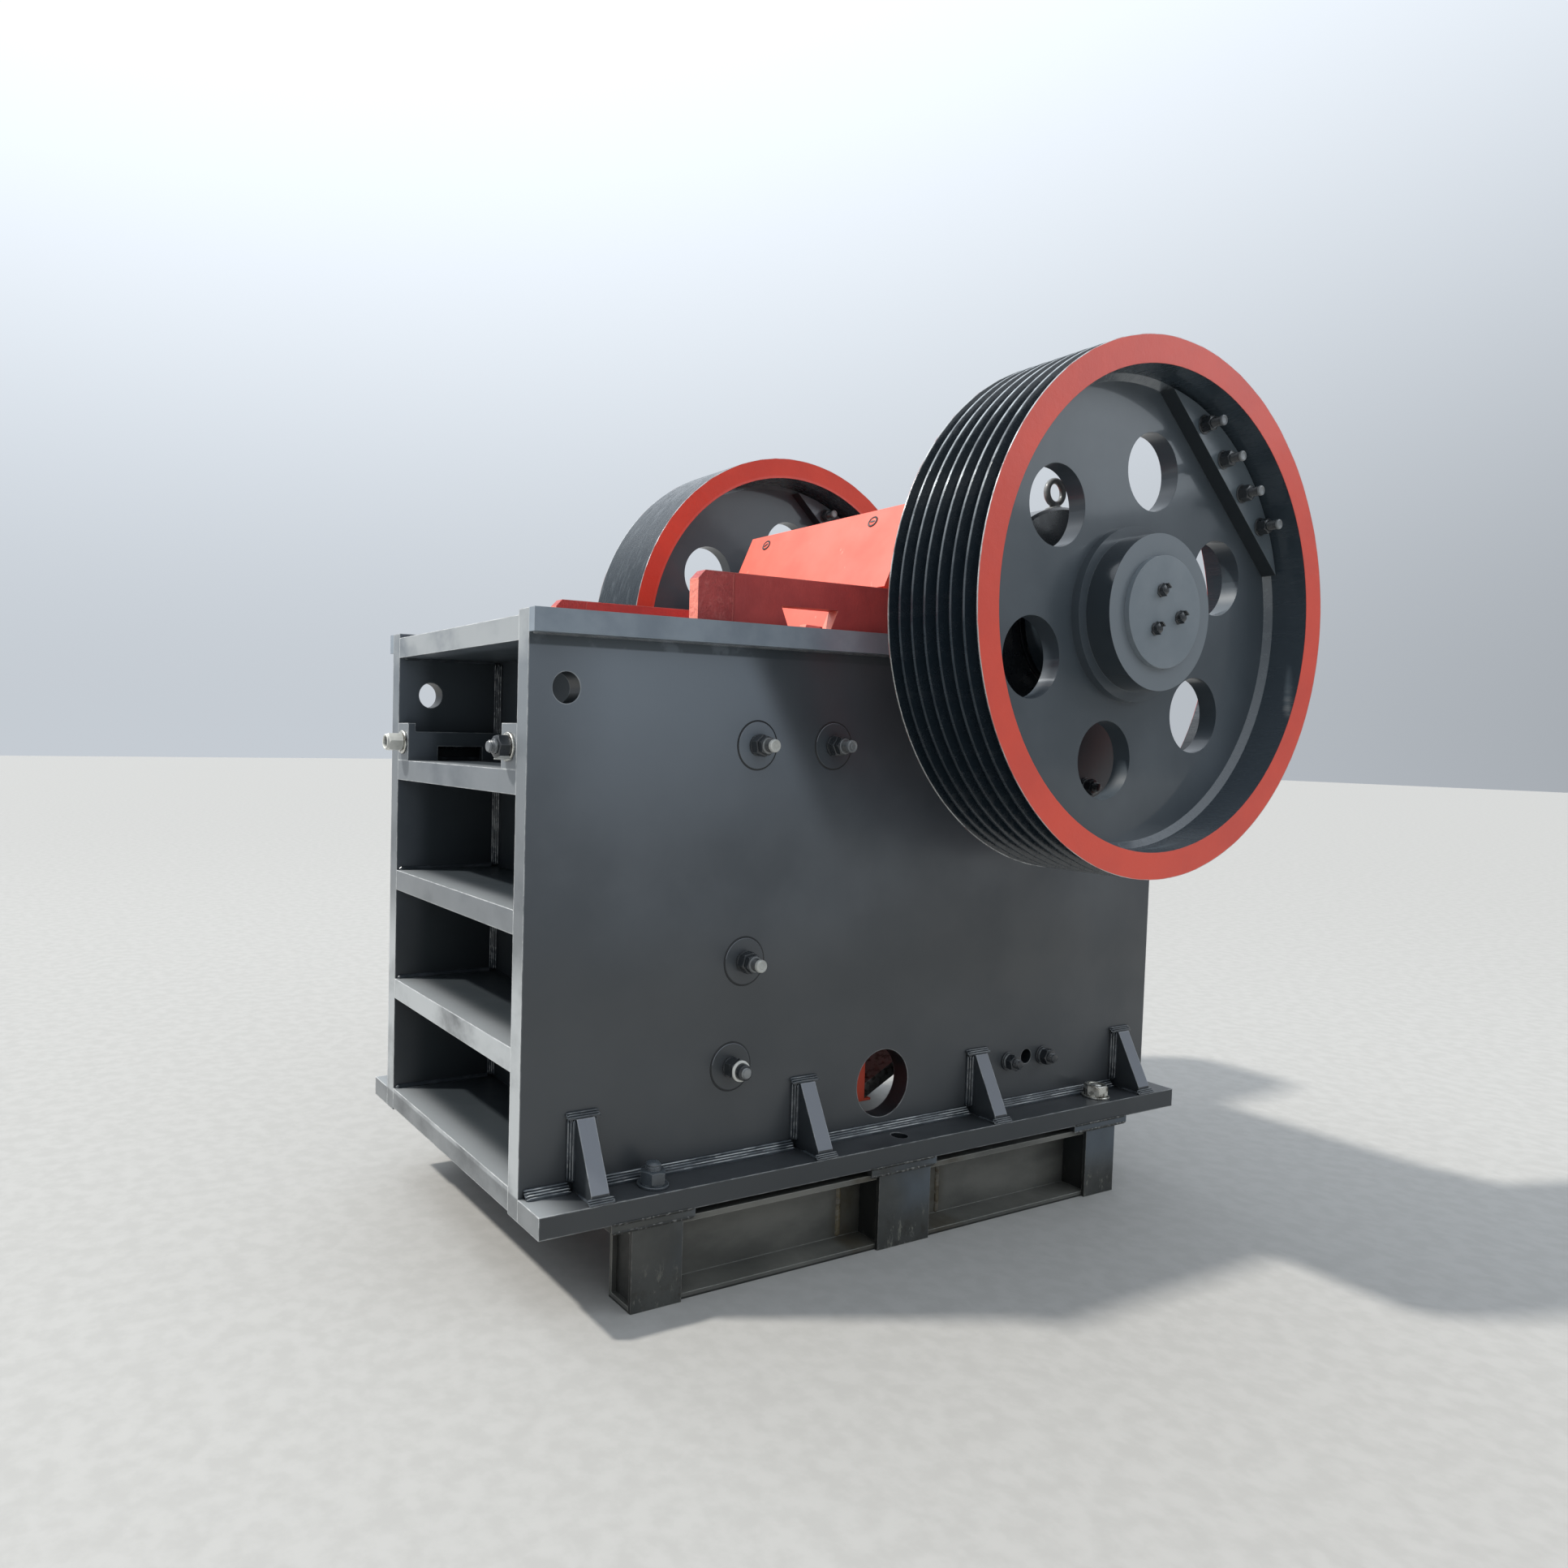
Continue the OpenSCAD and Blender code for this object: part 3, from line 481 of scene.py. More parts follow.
def stand_steel():
    """Thin dark primer on rolled steel: bluish mill scale, brown scuffs below, bare light edges, and painted
    shade on faces that point along X.
    """
    f = Finish("stand_steel", metal=0.15)
    z = f.axes()[2]
    nx = f.axes("Normal")[0]
    color = f.patches(f.noise(8, 5), (0.040, 0.042, 0.040), (0.076, 0.079, 0.074))
    blue = f.times(f.span(f.noise(5, 3), 0.30, 0.58), f.span(z, 0.03, 0.10, 0.0, 0.8))
    color = f.mix(blue, color, (0.095, 0.118, 0.142))
    rust = f.times(f.span(f.noise(55, 7, rough=0.7), 0.50, 0.66), f.span(z, 0.085, 0.0, 0.0, 0.7))
    color = f.mix(rust, color, (0.030, 0.027, 0.021))
    scuffs = f.times(f.span(f.noise(70, 8, (1, 1, 0.35), 0.8), 0.56, 0.62),
                     f.span(z, 0.08, 0.02, 0.0, 0.8))
    color = f.mix(scuffs, color, (0.20, 0.20, 0.17))
    # Painted shade on the faces that point along X
    color = f.mix(f.span(f.size(nx), 0.7, 0.9, 0.0, 0.85), color, (0.010, 0.011, 0.010))
    worn = f.times(f.edges(2.0 * MM), f.span(f.noise(80, 5), 0.35, 0.6, 0.2, 0.9))
    color = f.mix(worn, color, (0.30, 0.29, 0.27))
    f.set(Base_Color=color, Roughness=f.uneven(f.noise(22, 5), 0.38, 0.62))
    f.set(Normal=f.bump(f.noise(140, 5), 0.25, 0.6 * MM, f.rounded(1.5 * MM)))
    return f.material


def channel_steel():
    """Rolled channel under olive-grey mill scale, browner beside its weld seams, with a painted contact
    shadow along the ground and painted shade in its corners.
    """
    f = Finish("channel_steel", metal=0.1)
    x, _, z = f.axes()
    color = f.patches(f.noise(5, 5, (1, 1, 2.2)), (0.088, 0.089, 0.080), (0.170, 0.168, 0.150))
    near_post = f.between(x, FRONT + (SEAMS[0] - 12) * MM, FRONT + (SEAMS[1] + 12) * MM, 14 * MM)
    brown = f.times(near_post, f.span(f.noise(26, 6, rough=0.65), 0.30, 0.70, 0.35, 0.95))
    color = f.mix(brown, color, (0.066, 0.058, 0.040))
    worn = f.times(f.edges(2.5 * MM), f.span(f.noise(60, 5), 0.30, 0.6, 0.4, 1.0))
    color = f.mix(worn, color, (0.34, 0.34, 0.31))
    # Painted contact shadow along the ground, then painted shade in the corners
    color = f.mix(f.span(z, 4 * MM, 2 * MM, 0.0, 0.9), color, (0.006, 0.006, 0.005))
    color = f.corners(color, 0.06, 0.35)
    f.set(Base_Color=color, Roughness=f.uneven(f.noise(18, 5), 0.36, 0.58))
    f.set(Normal=f.bump(f.noise(120, 5), 0.25, 0.6 * MM, f.rounded(1.5 * MM)))
    return f.material


PAINT = body_paint("body_paint", True)
SOFT_PAINT = body_paint("body_paint_soft", False)
WELD = weld_paint("weld_paint", (0.034, 0.041, 0.048), (0.060, 0.070, 0.080), 0.0)
# Crown materials whose flecks are painted glints, strong and softer
WELD_CROWN_GLINT = weld_paint("weld_crown_glint", (0.070, 0.082, 0.093), (0.125, 0.142, 0.156), 0.8)
WELD_SOFT_GLINT = weld_paint("weld_soft_glint", (0.046, 0.054, 0.062), (0.080, 0.092, 0.103), 0.25)
WELD_BRIGHT = weld_bright()
LINER = liner_red()
CORAL = jaw_red()
PULLEY = wheel_finish("pulley_paint", True)
FLYWHEEL = wheel_finish("flywheel_paint", False)
HUB = plain_paint("wheel_paint", (0.165, 0.195, 0.220), (0.195, 0.225, 0.250), 0.36)
# The counterweight's sides take a painted shade
WEIGHT = plain_paint("weight_paint", (0.078, 0.100, 0.118), (0.098, 0.122, 0.140), 0.34, 0.2,
                     (0.016, 0.022, 0.027))
BAND = plain_paint("band_paint", (0.180, 0.215, 0.255), (0.240, 0.282, 0.325), 0.34)
EYE = plain_paint("eye_paint", (0.13, 0.14, 0.14), (0.30, 0.31, 0.31), 0.36)
PALE_STEEL = plain_paint("bolt_pale", (0.34, 0.35, 0.33), (0.80, 0.80, 0.75), 0.32)
HOUSING = plain_paint("housing_black", (0.012, 0.015, 0.019), (0.024, 0.028, 0.033), 0.28)
DARK_BOLT = plain_paint("bolt_dark", (0.013, 0.016, 0.019), (0.030, 0.034, 0.038), 0.30, 0.2)
SHAFT = bare_steel("shaft_steel", (0.45, 0.45, 0.44), (0.16, 0.14, 0.12), 0.35)
ZINC = bare_steel("bolt_bright", (0.72, 0.71, 0.66), (0.14, 0.13, 0.11), 0.30)
BOLT_PAINT = plain_paint("bolt_paint", (0.026, 0.033, 0.039), (0.070, 0.083, 0.094), 0.28, 0.6)
WORN_BOLT = plain_paint("bolt_worn", (0.10, 0.11, 0.12), (0.26, 0.27, 0.27), 0.34)
GAP = plain_paint("gap_dark", (0.006, 0.008, 0.010), (0.012, 0.015, 0.018), 0.6, 0.0)
STAND = stand_steel()
CHANNEL = channel_steel()
# Brown stand seams, with a few painted glints
WELD_BROWN = weld_paint("weld_brown", (0.060, 0.046, 0.026), (0.130, 0.108, 0.068), 0.12)

NODE_FINISH = {
    "top_band": BAND, "cheek_plate": LINER, "fixed_jaw": LINER, "swing_jaw_plate": LINER,
    "swing_jaw": CORAL, "guard_plate": CORAL, "bearing_housing": HOUSING, "pulley": PULLEY,
    "flywheel": FLYWHEEL, "counterweight": WEIGHT, "hub_cap": HUB, "eccentric": SHAFT, "toggle": SHAFT,
    "tension": SHAFT, "stand_channel": CHANNEL, "stand_posts": STAND, "shims": STAND,
}


def paint_cad():
    """Each CAD node takes the finish whose name begins its own, or else the body paint."""
    for name, obj in frame["nodes"].items():
        heads = [h for h in NODE_FINISH if name.startswith(h)]
        finish = NODE_FINISH[max(heads, key=len)] if heads else PAINT
        if not obj.data.materials:
            obj.data.materials.append(finish)
        for material_slot in obj.material_slots:
            material_slot.material = finish


# Small forms
def put(name, data):
    """A new object in the scene."""
    obj = bpy.data.objects.new(name, data)
    bpy.context.scene.collection.objects.link(obj)
    return obj


class Shape:
    """Points and faces gathered from small closed forms, each face with a material number."""

    def __init__(self):
        self.points = []
        self.faces = []
        self.tints = []

    def add(self, form, where=Matrix.Identity(4), tint=0):
        """Adds a form at a place; tint is one material number, or a list with one for each face."""
        points, faces = form
        start = len(self.points)
        self.points += [where @ Vector(p) for p in points]
        self.faces += [[start + i for i in face] for face in faces]
        self.tints += tint if isinstance(tint, list) else [tint] * len(faces)

    def piece(self, name, materials, body, slot):
        """Makes the gathered forms one piece that rides its body."""
        mesh = bpy.data.meshes.new(name)
        mesh.from_pydata(self.points, [], self.faces)
        for material in materials:
            mesh.materials.append(material)
        mesh.polygons.foreach_set("material_index", self.tints)
        work = bmesh.new()
        work.from_mesh(mesh)
        bmesh.ops.recalc_face_normals(work, faces=work.faces)
        work.to_mesh(mesh)
        work.free()
        mesh.shade_smooth()
        mesh.set_sharp_from_angle(angle=math.radians(32))
        obj = put(name, mesh)
        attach(obj, body)
        return obj


def polar(r, a, h):
    """A point from a radius, an angle and a height, both lengths in millimetres."""
    return r * MM * math.cos(a), r * MM * math.sin(a), h * MM


def grid(rows, sides, first=0):
    """Rings of point numbers, one for each row of so many sides."""
    return [[first + k * sides + i for i in range(sides)] for k in range(rows)]


def walls(rings, loop=False):
    """Faces from each ring of point numbers to the next, and from the last to the first if loop is set."""
    faces = []
    for one, two in zip(rings, rings[1:] + rings[:1] if loop else rings[1:]):
        for i in range(len(one)):
            j = (i + 1) % len(one)
            faces.append(list(dict.fromkeys((one[i], one[j], two[j], two[i]))))
    return faces


def prism(points):
    """A form between two equal outlines, the first and the second half of the points."""
    ends = grid(2, len(points) // 2)
    return points, ends + walls(ends)


def turned(profile, sides, loop=False):
    """A form turned about Z from (radius, height) pairs in millimetres; radius 0 closes it on the axis."""
    points = []
    rings = []
    for r, h in profile:
        count = sides if r else 1
        rings.append([len(points) + i % count for i in range(sides)])
        points += [polar(r, math.tau * i / sides, h) for i in range(count)]
    return points, walls(rings, loop)


def nut(flats, height, bore, base=0.0):
    """A six-sided nut, or with a small bore a bolt's head, both ends chamfered to a circle."""
    sides = 36
    angles = [math.tau * i / sides for i in range(sides)]
    circle = flats * 0.485
    rim = [flats / 2 / math.cos((a + math.pi / 6) % (math.pi / 3) - math.pi / 6) for a in angles]
    drop = [(r - circle) * math.tan(math.radians(30)) for r in rim]
    rows = [[(circle, 0)] * sides, list(zip(rim, drop)), [(r, height - d) for r, d in zip(rim, drop)],
            [(circle, height)] * sides, [(bore, height)] * sides, [(bore, 0)] * sides]
    points = [polar(r, a, base + h) for row in rows for a, (r, h) in zip(angles, row)]
    return points, walls(grid(len(rows), sides), loop=True)


def thread(r, start, end, pitch=2.5):
    """A threaded end from start to end, with its ridge climbing round it and a chamfered tip."""
    sides = 20
    last = 2 * max(2, int((end - start) / pitch))
    points = [(0, 0, start * MM), (0, 0, end * MM)]
    for k in range(last + 1):
        ridge = r if k % 2 == 0 else r - 0.55 * pitch
        shrink = 0.8 if k == last else 1.0
        for i in range(sides):
            climb = 0 if k in (0, last) else pitch * (i / sides - 0.5)
            height = min(max(start + k * pitch / 2 + climb, start), end)
            points.append(polar(ridge * shrink, math.tau * i / sides, height))
    return points, walls([[0] * sides] + grid(last + 1, sides, 2) + [[1] * sides])


def washer(outer, inner, thick, base=0.0):
    """A flat washer with softly broken edges."""
    soft = min(0.8, thick / 3)
    return turned([(inner, base), (outer - soft, base), (outer, base + soft), (outer, base + thick - soft),
                   (outer - soft, base + thick), (inner, base + thick)], 40, loop=True)


def facing(point, direction, spin):
    """A place whose Z axis points along direction, turned about it by spin degrees."""
    turn = Vector((0, 0, 1)).rotation_difference(Vector(direction)).to_matrix().to_4x4()
    return Matrix.Translation(point) @ turn @ Matrix.Rotation(math.radians(spin), 4, "Z")


# Weld beads
def bead(shape, path, up, width, height, seed, pitch=6.0, crown_tint=0):
    """A rippled bead along path, in metres; up is the crown's direction, width and height in millimetres."""
    rng = random.Random(seed)
    path = [Vector(p) for p in path]
    across = 7
    for start, end in zip(path, path[1:]):
        along = end - start
        length = along.length
        along.normalize()
        crown = (Vector(up) - along * Vector(up).dot(along)).normalized()
        side = along.cross(crown)
        ripples = max(2, round(length / (pitch * MM)))
        steps = ripples * 3
        points = []
        swell = 1.0
        for k in range(steps + 1):
            if k % 3 == 0:
                swell = 1.0 + rng.uniform(-0.02, 0.02)
            ripple = (0.99, 1.0, 1.01)[k % 3] * swell
            ends = min(1.0, 0.35 + 4.0 * min(k, steps - k) / steps * ripples / 4)
            for i in range(across):
                u = 2 * i / (across - 1) - 1
                bulge = math.sqrt(max(0.0, 1 - u * u))
                lead = 0.15 * pitch * MM * (bulge - 0.4)
                t = min(max(length * k / steps + lead, 0), length)
                rise = height * MM * bulge * ripple * ends - 0.4 * MM
                points.append(start + along * t + side * (u * width / 2 * MM * ends) + crown * rise)
        rings = grid(steps + 1, across)
        # Crown faces take material number crown_tint, whose painted glints run along the crowns
        tints = [0, 0, crown_tint, crown_tint, 0, 0, 0] * steps + [0, 0]
        shape.add((points, walls(rings) + [rings[0], rings[-1]]), tint=tints)


def fillet(shape, path, one, two, passes, leg, seed):
    """One bead, or a base and several whose crowns take the second material with its painted glints, in the
    corner of surfaces that face one and two.
    """
    one = Vector(one)
    two = Vector(two)
    if passes > 1:
        middle = (one + two) * leg * MM * 0.27
        bead(shape, [Vector(p) + middle for p in path], one + two, 0.95 * leg, 0.10 * leg, seed, 60)
    for k in range(passes):
        share = (k + 0.5) / passes
        shift = (one * share + two * (1 - share)) * leg * MM * 0.62
        crown = one * (1 - share) + two * share
        lifted = [Vector(p) + shift * 0.9 for p in path]
        wide = 1.5 * leg if passes == 1 else 0.80 * leg / passes
        bead(shape, lifted, crown + (one + two) * 0.5, wide, 0.62 * leg / passes, seed + k, 5.3 + 1.3 * k,
             crown_tint=1 if passes > 1 else 0)


def flange_welds():
    """Four-pass beads where each side plate stands on its flange, broken at the gussets."""
    for name, side in SIDES:
        shape = Shape()
        y = side * PLATE_OUT
        stops = [FLANGE_WELD[0]] + [e for g in GUSSETS for e in (g - 7, g + GUSSET_T + 7)] + [FLANGE_WELD[1]]
        for k, (a, b) in enumerate(zip(stops[::2], stops[1::2])):
            z = (FLANGE_TOP - BASE) / MM
            fillet(shape, [place(a, z, y), place(b, z, y)], (0, side, 0), (0, 0, 1), 4, 24, seed=10 * k)
        shape.piece("flange_weld_" + name, [WELD, WELD_CROWN_GLINT], "frame", "body_paint")


def gusset_welds():
    """Three-pass beads up a gusset's flanks, over its top and across its toe, thin ones along its foot."""
    flange = (FLANGE_TOP - BASE) / MM
    for name, side in SIDES:
        shape = Shape()
        for k, g in enumerate(GUSSETS):
            y = side * PLATE_OUT
            toe = side * (PLATE_OUT + 58 * MM)
            for x, flank in ((g, -1), (g + GUSSET_T, 1)):
                fillet(shape, [place(x, flange + 14, y), place(x, flange + 106, y)], (flank, 0, 0),
                       (0, side, 0), 3, 18, seed=20 + k)
                fillet(shape, [place(x, flange, y + side * 22 * MM), place(x, flange, toe)], (flank, 0, 0),
                       (0, 0, 1), 1, 3.5, seed=40 + k)
            fillet(shape, [place(g - 13, flange + 107, y), place(g + GUSSET_T + 13, flange + 107, y)],
                   (0, 0, 1), (0, side, 0), 3, 16, seed=60 + k)
            fillet(shape, [place(g - 7, flange, toe), place(g + GUSSET_T + 7, flange, toe)],
                   (0, side, 0), (0, 0, 1), 3, 14, seed=80 + k)
        shape.piece("gusset_welds_" + name, [WELD, WELD_SOFT_GLINT], "frame", "body_paint")


def bay_welds():
    """Corner beads in the front bays: up the wall's corners and along the top of each rib's ends."""
    for name, side in SIDES:
        shape = Shape()
        inner = side * PLATE_IN
        wall = (low("front_wall").x - FRONT) / MM
        levels = [(low(r).z - BASE) / MM for r in RIBS]
        thick = (high(RIBS[0]).z - low(RIBS[0]).z) / MM
        for k, (below, above) in enumerate(zip(levels[1:], levels)):
            z = below + thick
            fillet(shape, [place(wall, z + 4, inner), place(wall, above - 4, inner)], (-1, 0, 0),
                   (0, -side, 0), 4, 22, seed=100 + k)
            fillet(shape, [place(4, z, inner), place(wall - 10, z, inner)], (0, -side, 0), (0, 0, 1), 1, 7,
                   seed=120 + k)
            fillet(shape, [place(10, above, inner), place(wall - 10, above, inner)], (0, -side, 0),
                   (0, 0, -1), 1, 4, seed=140 + k)
        shape.piece("bay_welds_" + name, [WELD, WELD_CROWN_GLINT], "frame", "body_paint")


def band_welds():
    """A thin uneven bead under each top band."""
    for name, side in SIDES:
        shape = Shape()
        z = (BAND_LOW - BASE) / MM
        fillet(shape, [place(6, z, side * PLATE_OUT), place(794, z, side * PLATE_OUT)], (0, side, 0),
               (0, 0, -1), 1, 3.5, seed=160)
        shape.piece("band_weld_" + name, [PAINT], "frame", "body_paint")


def shim_welds():
    """Rough thin welds along the outer edge of each packing shim."""
    for name, side in SIDES:
        shape = Shape()
        thick = BASE - low("shims_far").z
        edge = side * FLANGE_EDGE
        for k, (a, b) in enumerate(SHIMS):
            for level, crown in ((0, -0.5), (-thick / MM, 0.6)):
                bead(shape, [place(a, level, edge), place(b, level, edge)], (0, side, crown), 4.5, 1.8,
                     seed=180 + k, pitch=7)
        shape.piece("shim_welds_" + name, [WELD_BRIGHT], "frame", "stand_steel")


def slab(start, end):
    """A flat plate between two opposite corners, its long edges broken by half a millimetre."""
    soft = 0.5 * MM
    outline = [(start.y + soft, start.z), (end.y - soft, start.z), (end.y, start.z + soft),
               (end.y, end.z - soft), (end.y - soft, end.z), (start.y + soft, end.z),
               (start.y, end.z - soft), (start.y, start.z + soft)]
    return prism([(x, y, z) for x in (start.x, end.x) for y, z in outline])


def stand_joints():
    """Plates that close each post back to the channel's web, and seams down the web by the middle post."""
    first = low("stand_posts_far").x
    last = high("stand_posts_far").x
    middle = FRONT + MIDDLE_POST * MM
    lengths = [length * MM for length in POST_LENGTHS]
    posts = ((first, first + lengths[0]), (middle, middle + lengths[1]), (last - lengths[2], last))
    web = low("stand_channel_far").y + 6 * MM
    back = high("stand_posts_far").y - 6 * MM
    foot = 9 * MM
    head = high("stand_channel_far").z - foot
    for name, side in SIDES:
        shape = Shape()
        for front, rear in posts:
            for start in (front + 8 * MM, rear - 14 * MM):
                inner, outer = sorted((side * web, side * back))
                shape.add(slab(Vector((start, inner, foot)), Vector((start + 6 * MM, outer, head))), tint=1)
        for k, x in enumerate(SEAMS):
            path = [Vector((FRONT + x * MM, side * web, z)) for z in (foot, head)]
            bead(shape, path, (0, side, 0), 11, 3.0, seed=220 + k, pitch=6)
        shape.piece("stand_joints_" + name, [WELD_BROWN, STAND], "frame", "stand_steel")


# Fasteners
def plate_bolts():
    """Flush discs under the liner bolts on each side plate, with two nuts and a bare bolt end on each."""
    # The bolt ends' material numbers, pale steel and worn by turns
    ends = (1, 4, 1, 4)
    for name, side in SIDES:
        shape = Shape()
        for k, (x, z) in enumerate(LINER_BOLTS):
            where = facing(place(x, z, side * PLATE_OUT), (0, side, 0), 17 * k + 9)
            shape.add(washer(37, 11, 1.6), where, 0)
            shape.add(turned([(37, 0), (39.8, 0), (39.4, 0.6), (37, 0.9)], 48, loop=True), where, 3)
            shape.add(turned([(0, 2), (17, 2), (17, 5), (0, 5)], 32), where, 2)
            shape.add(nut(31, 14, 10, 5), where, 2)
            if k == len(LINER_BOLTS) - 1:
                ring = [(12, 26.5), (17, 26.5), (16.5, 28.5), (14.5, 29.5), (12, 29)]
                shape.add(nut(33, 8, 14, 19), where, 2)
                shape.add(turned(ring, 40, loop=True), where, 1)
                shape.add(turned([(0, 27), (13, 27), (13.5, 30), (12.5, 38), (9, 40), (0, 40)], 24), where, 2)
                shape.add(thread(9, 38, 44), where, ends[k])
                continue
            shape.add(nut(27, 8, 10, 20), where, 2)
            shape.add(washer(12.5, 9.5, 1.6, 28), where, 4)
            shape.add(thread(10.2, 6, 40), where, 2)
            tip = [(0, 39), (10, 39), (10.4, 40), (10, 44), (8.5, 45.4), (6.5, 45.2), (6.1, 44.6), (4, 44.6),
                   (3.6, 45.2), (0, 45.2)]
            shape.add(turned(tip, 24), where, ends[k])
        shape.piece("liner_bolts_" + name, [SOFT_PAINT, PALE_STEEL, DARK_BOLT, GAP, WORN_BOLT], "frame",
                    "body_paint")


def rear_bolts():
    """The two toggle seat bolts at the rear foot of each side plate, and one behind the wheel."""
    for name, side in SIDES:
        shape = Shape()
        for k, (x, z) in enumerate(SEAT_BOLTS):
            where = facing(place(x, z, side * PLATE_OUT), (0, side, 0), 11 + 20 * k)
            shape.add(washer(17, 10, 3), where, 0)
            shape.add(washer(14, 9, 3, 3), where, 1)
            shape.add(nut(27, 13, 9, 6.5), where, 0)
            shape.add(thread(9, 6, 30), where, 0)
        shape.piece("seat_bolts_" + name, [HOUSING, WORN_BOLT], "frame", "shaft_steel")


def foundation_bolts():
    """Nuts and washers on the front and rear foundation bolts, painted in front and bare at the rear."""
    kinds = (("front", FOUNDATION_FRONT, 37, BOLT_PAINT, "body_paint"),
             ("rear", FOUNDATION_REAR, 25, ZINC, "shaft_steel"))
    flange = (FLANGE_TOP - BASE) / MM
    for name, side in SIDES:
        y = side * (PLATE_OUT + 34 * MM)
        for end, x, tall, finish, slot in kinds:
            shape = Shape()
            where = facing(place(x, flange, y), (0, 0, 1), 24)
            tip = [(0, tall - 6), (11.5, tall - 6), (11.5, tall - 4), (9, tall - 1.5), (5, tall - 0.3),
                   (0, tall)]
            shape.add(washer(24, 12.5, 4), where)
            shape.add(nut(36, 20, 12, 4), where)
            shape.add(thread(12, 4, tall - 5), where)
            shape.add(turned(tip, 24), where)
            shape.add(turned([(0, -33), (11.5, -33), (11.5, 4), (0, 4)], 20), where)
            shape.piece("foundation_bolt_%s_%s" % (end, name), [finish], "frame", slot)


def clamp_bolts():
    """Bolts through the two lugs: a long pale nut on the far one, a black nut and worn end on the near."""
    collar = [(13, 29), (14.2, 31), (13.8, 34), (12.2, 35), (10.5, 34), (10.5, 24), (12, 22)]
    for name, side in SIDES:
        shape = Shape()
        where = facing(place(0, CLAMP_Z, side * (PLATE_IN - 25 * MM)), (-1, 0, 0), 8)
        shape.add(washer(21, 12, 4), where, 0)
        shape.add(turned([(0, -203), (12, -203), (12, 4), (0, 4)], 24), where, 2)
        if side > 0:
            shape.add(nut(29, 27, 11, 4), where, 3)
            shape.add(turned(collar, 32, loop=True), where, 3)
            shape.add(thread(10.2, 4, 31, 3), where, 1)
        else:
            shape.add(nut(31, 18, 11, 4), where, 2)
            shape.add(nut(21, 4, 9.5, 22), where, 4)
            shape.add(thread(9.5, 25, 34, 3.0), where, 4)
            shape.add(lock_tab(), where @ Matrix.Rotation(math.pi, 4, "Z") @ Matrix.Scale(1.9, 4), 3)
        shape.piece("clamp_bolt_" + name, [ZINC, DARK_BOLT, HOUSING, PALE_STEEL, WORN_BOLT], "frame",
                    "shaft_steel")


def guard_bolts():
    """Two flush bolts near the guard plate's top edge, painted over inside a dark ring."""
    lean = math.radians(25)
    along = Vector((math.sin(lean), 0, math.cos(lean)))
    out = Vector((-math.cos(lean), 0, math.sin(lean)))
    corner = Vector((high("guard_plate").x, 0, high("guard_plate").z - 10 * MM * math.sin(lean)))
    shape = Shape()
    for k, y in enumerate(GUARD_BOLTS):
        spot = corner + out * 10 * MM - along * 24 * MM + Vector((0, y * MM, 0))
        where = facing(spot, out, 30 * k)
        shape.add(turned([(11, -1), (11, 0.9), (10, 1.5), (7.8, 1.3), (7.6, -1)], 32, loop=True), where, 0)
        shape.add(turned([(0, -1), (7.6, -1), (7.6, 0.5), (6.8, 0.8), (0, 0.8)], 32), where, 1)
        slit = turned([(0, 0), (1.8, 0), (1.8, 1.6), (0, 1.6)], 16)
        shape.add(slit, where @ Matrix.Scale(3.4, 4, (0, 1, 0)), 0)
    shape.piece("guard_bolts", [GAP, CORAL], "frame", "jaw_red")


def eyebolts():
    """A lifting eye on top of each bearing housing."""
    angles = [math.tau * i / 14 for i in range(14)]
    ring = [(20.5 + 5.5 * math.cos(a), 5.5 * math.sin(a)) for a in angles]
    collar = [(0, -3), (15, -3), (15, 4), (12, 6), (8, 8), (7, 13), (0, 13)]
    for name, side in SIDES:
        shape = Shape()
        foot = Vector((SHAFT_X, side * (PLATE_OUT + 48 * MM), high("bearing_housing_far").z))
        shape.add(turned(ring, 40, loop=True), facing(foot + Vector((0, 0, 32 * MM)), (0, 1, 0), 0))
        shape.add(turned(collar, 28), Matrix.Translation(foot))
        shape.piece("eyebolt_" + name, [EYE], "frame", "rim_black")


def lock_tab():
    """A lock washer's tab, bent up beside a bolt head."""
    outline = [(7.9, 0.4), (11, 0.4), (11, 1.8), (9.9, 2.6), (9.4, 11.0), (7.9, 10.2)]
    return prism([(x * MM, y * MM, z * MM) for y in (-5, 5) for x, z in outline])


def wheel_fasteners():
    """Four studs through each counterweight, towards the camera, and three bolts in each hub cap."""
    tip = [(0, 29.5), (8.3, 29.5), (8.8, 30.5), (8.3, 33), (6.6, 33.6), (5.2, 32.4), (0, 32)]
    across = math.radians(STUD_ROW + 90)
    along = Vector((math.cos(across), 0, math.sin(across)))
    for name, side in SIDES:
        middle = about_shaft(STUD_R, STUD_ROW, low("counterweight_" + name).y)
        shape = Shape()
        for k, t in enumerate(STUDS):
            where = facing(middle + along * t * MM, (0, -1, 0), 13 * k)
            shape.add(washer(16, 8, 2), where, 0)
            shape.add(nut(24, 14, 8, 2), where, 0)
            shape.add(thread(8, 14, 30, 2), where, 0)
            shape.add(turned(tip, 24), where, 1)
        shape.piece("counterweight_bolts_" + name, [DARK_BOLT, WORN_BOLT], "rotor", "wheel_paint")
        shape = Shape()
        for angle in CAP_BOLTS:
            where = facing(about_shaft(36, angle, side * high("hub_cap_far").y), (0, side, 0), 12)
            shape.add(nut(15, 8, 0.5), where)
            shape.add(turned([(0, 0), (10, 0), (10, 1.5), (0, 1.5)], 24), where)
            for turn in (40, 220):
                shape.add(lock_tab(), where @ Matrix.Rotation(math.radians(turn), 4, "Z"))
        shape.piece("cap_bolts_" + name, [DARK_BOLT], "rotor", "wheel_paint")


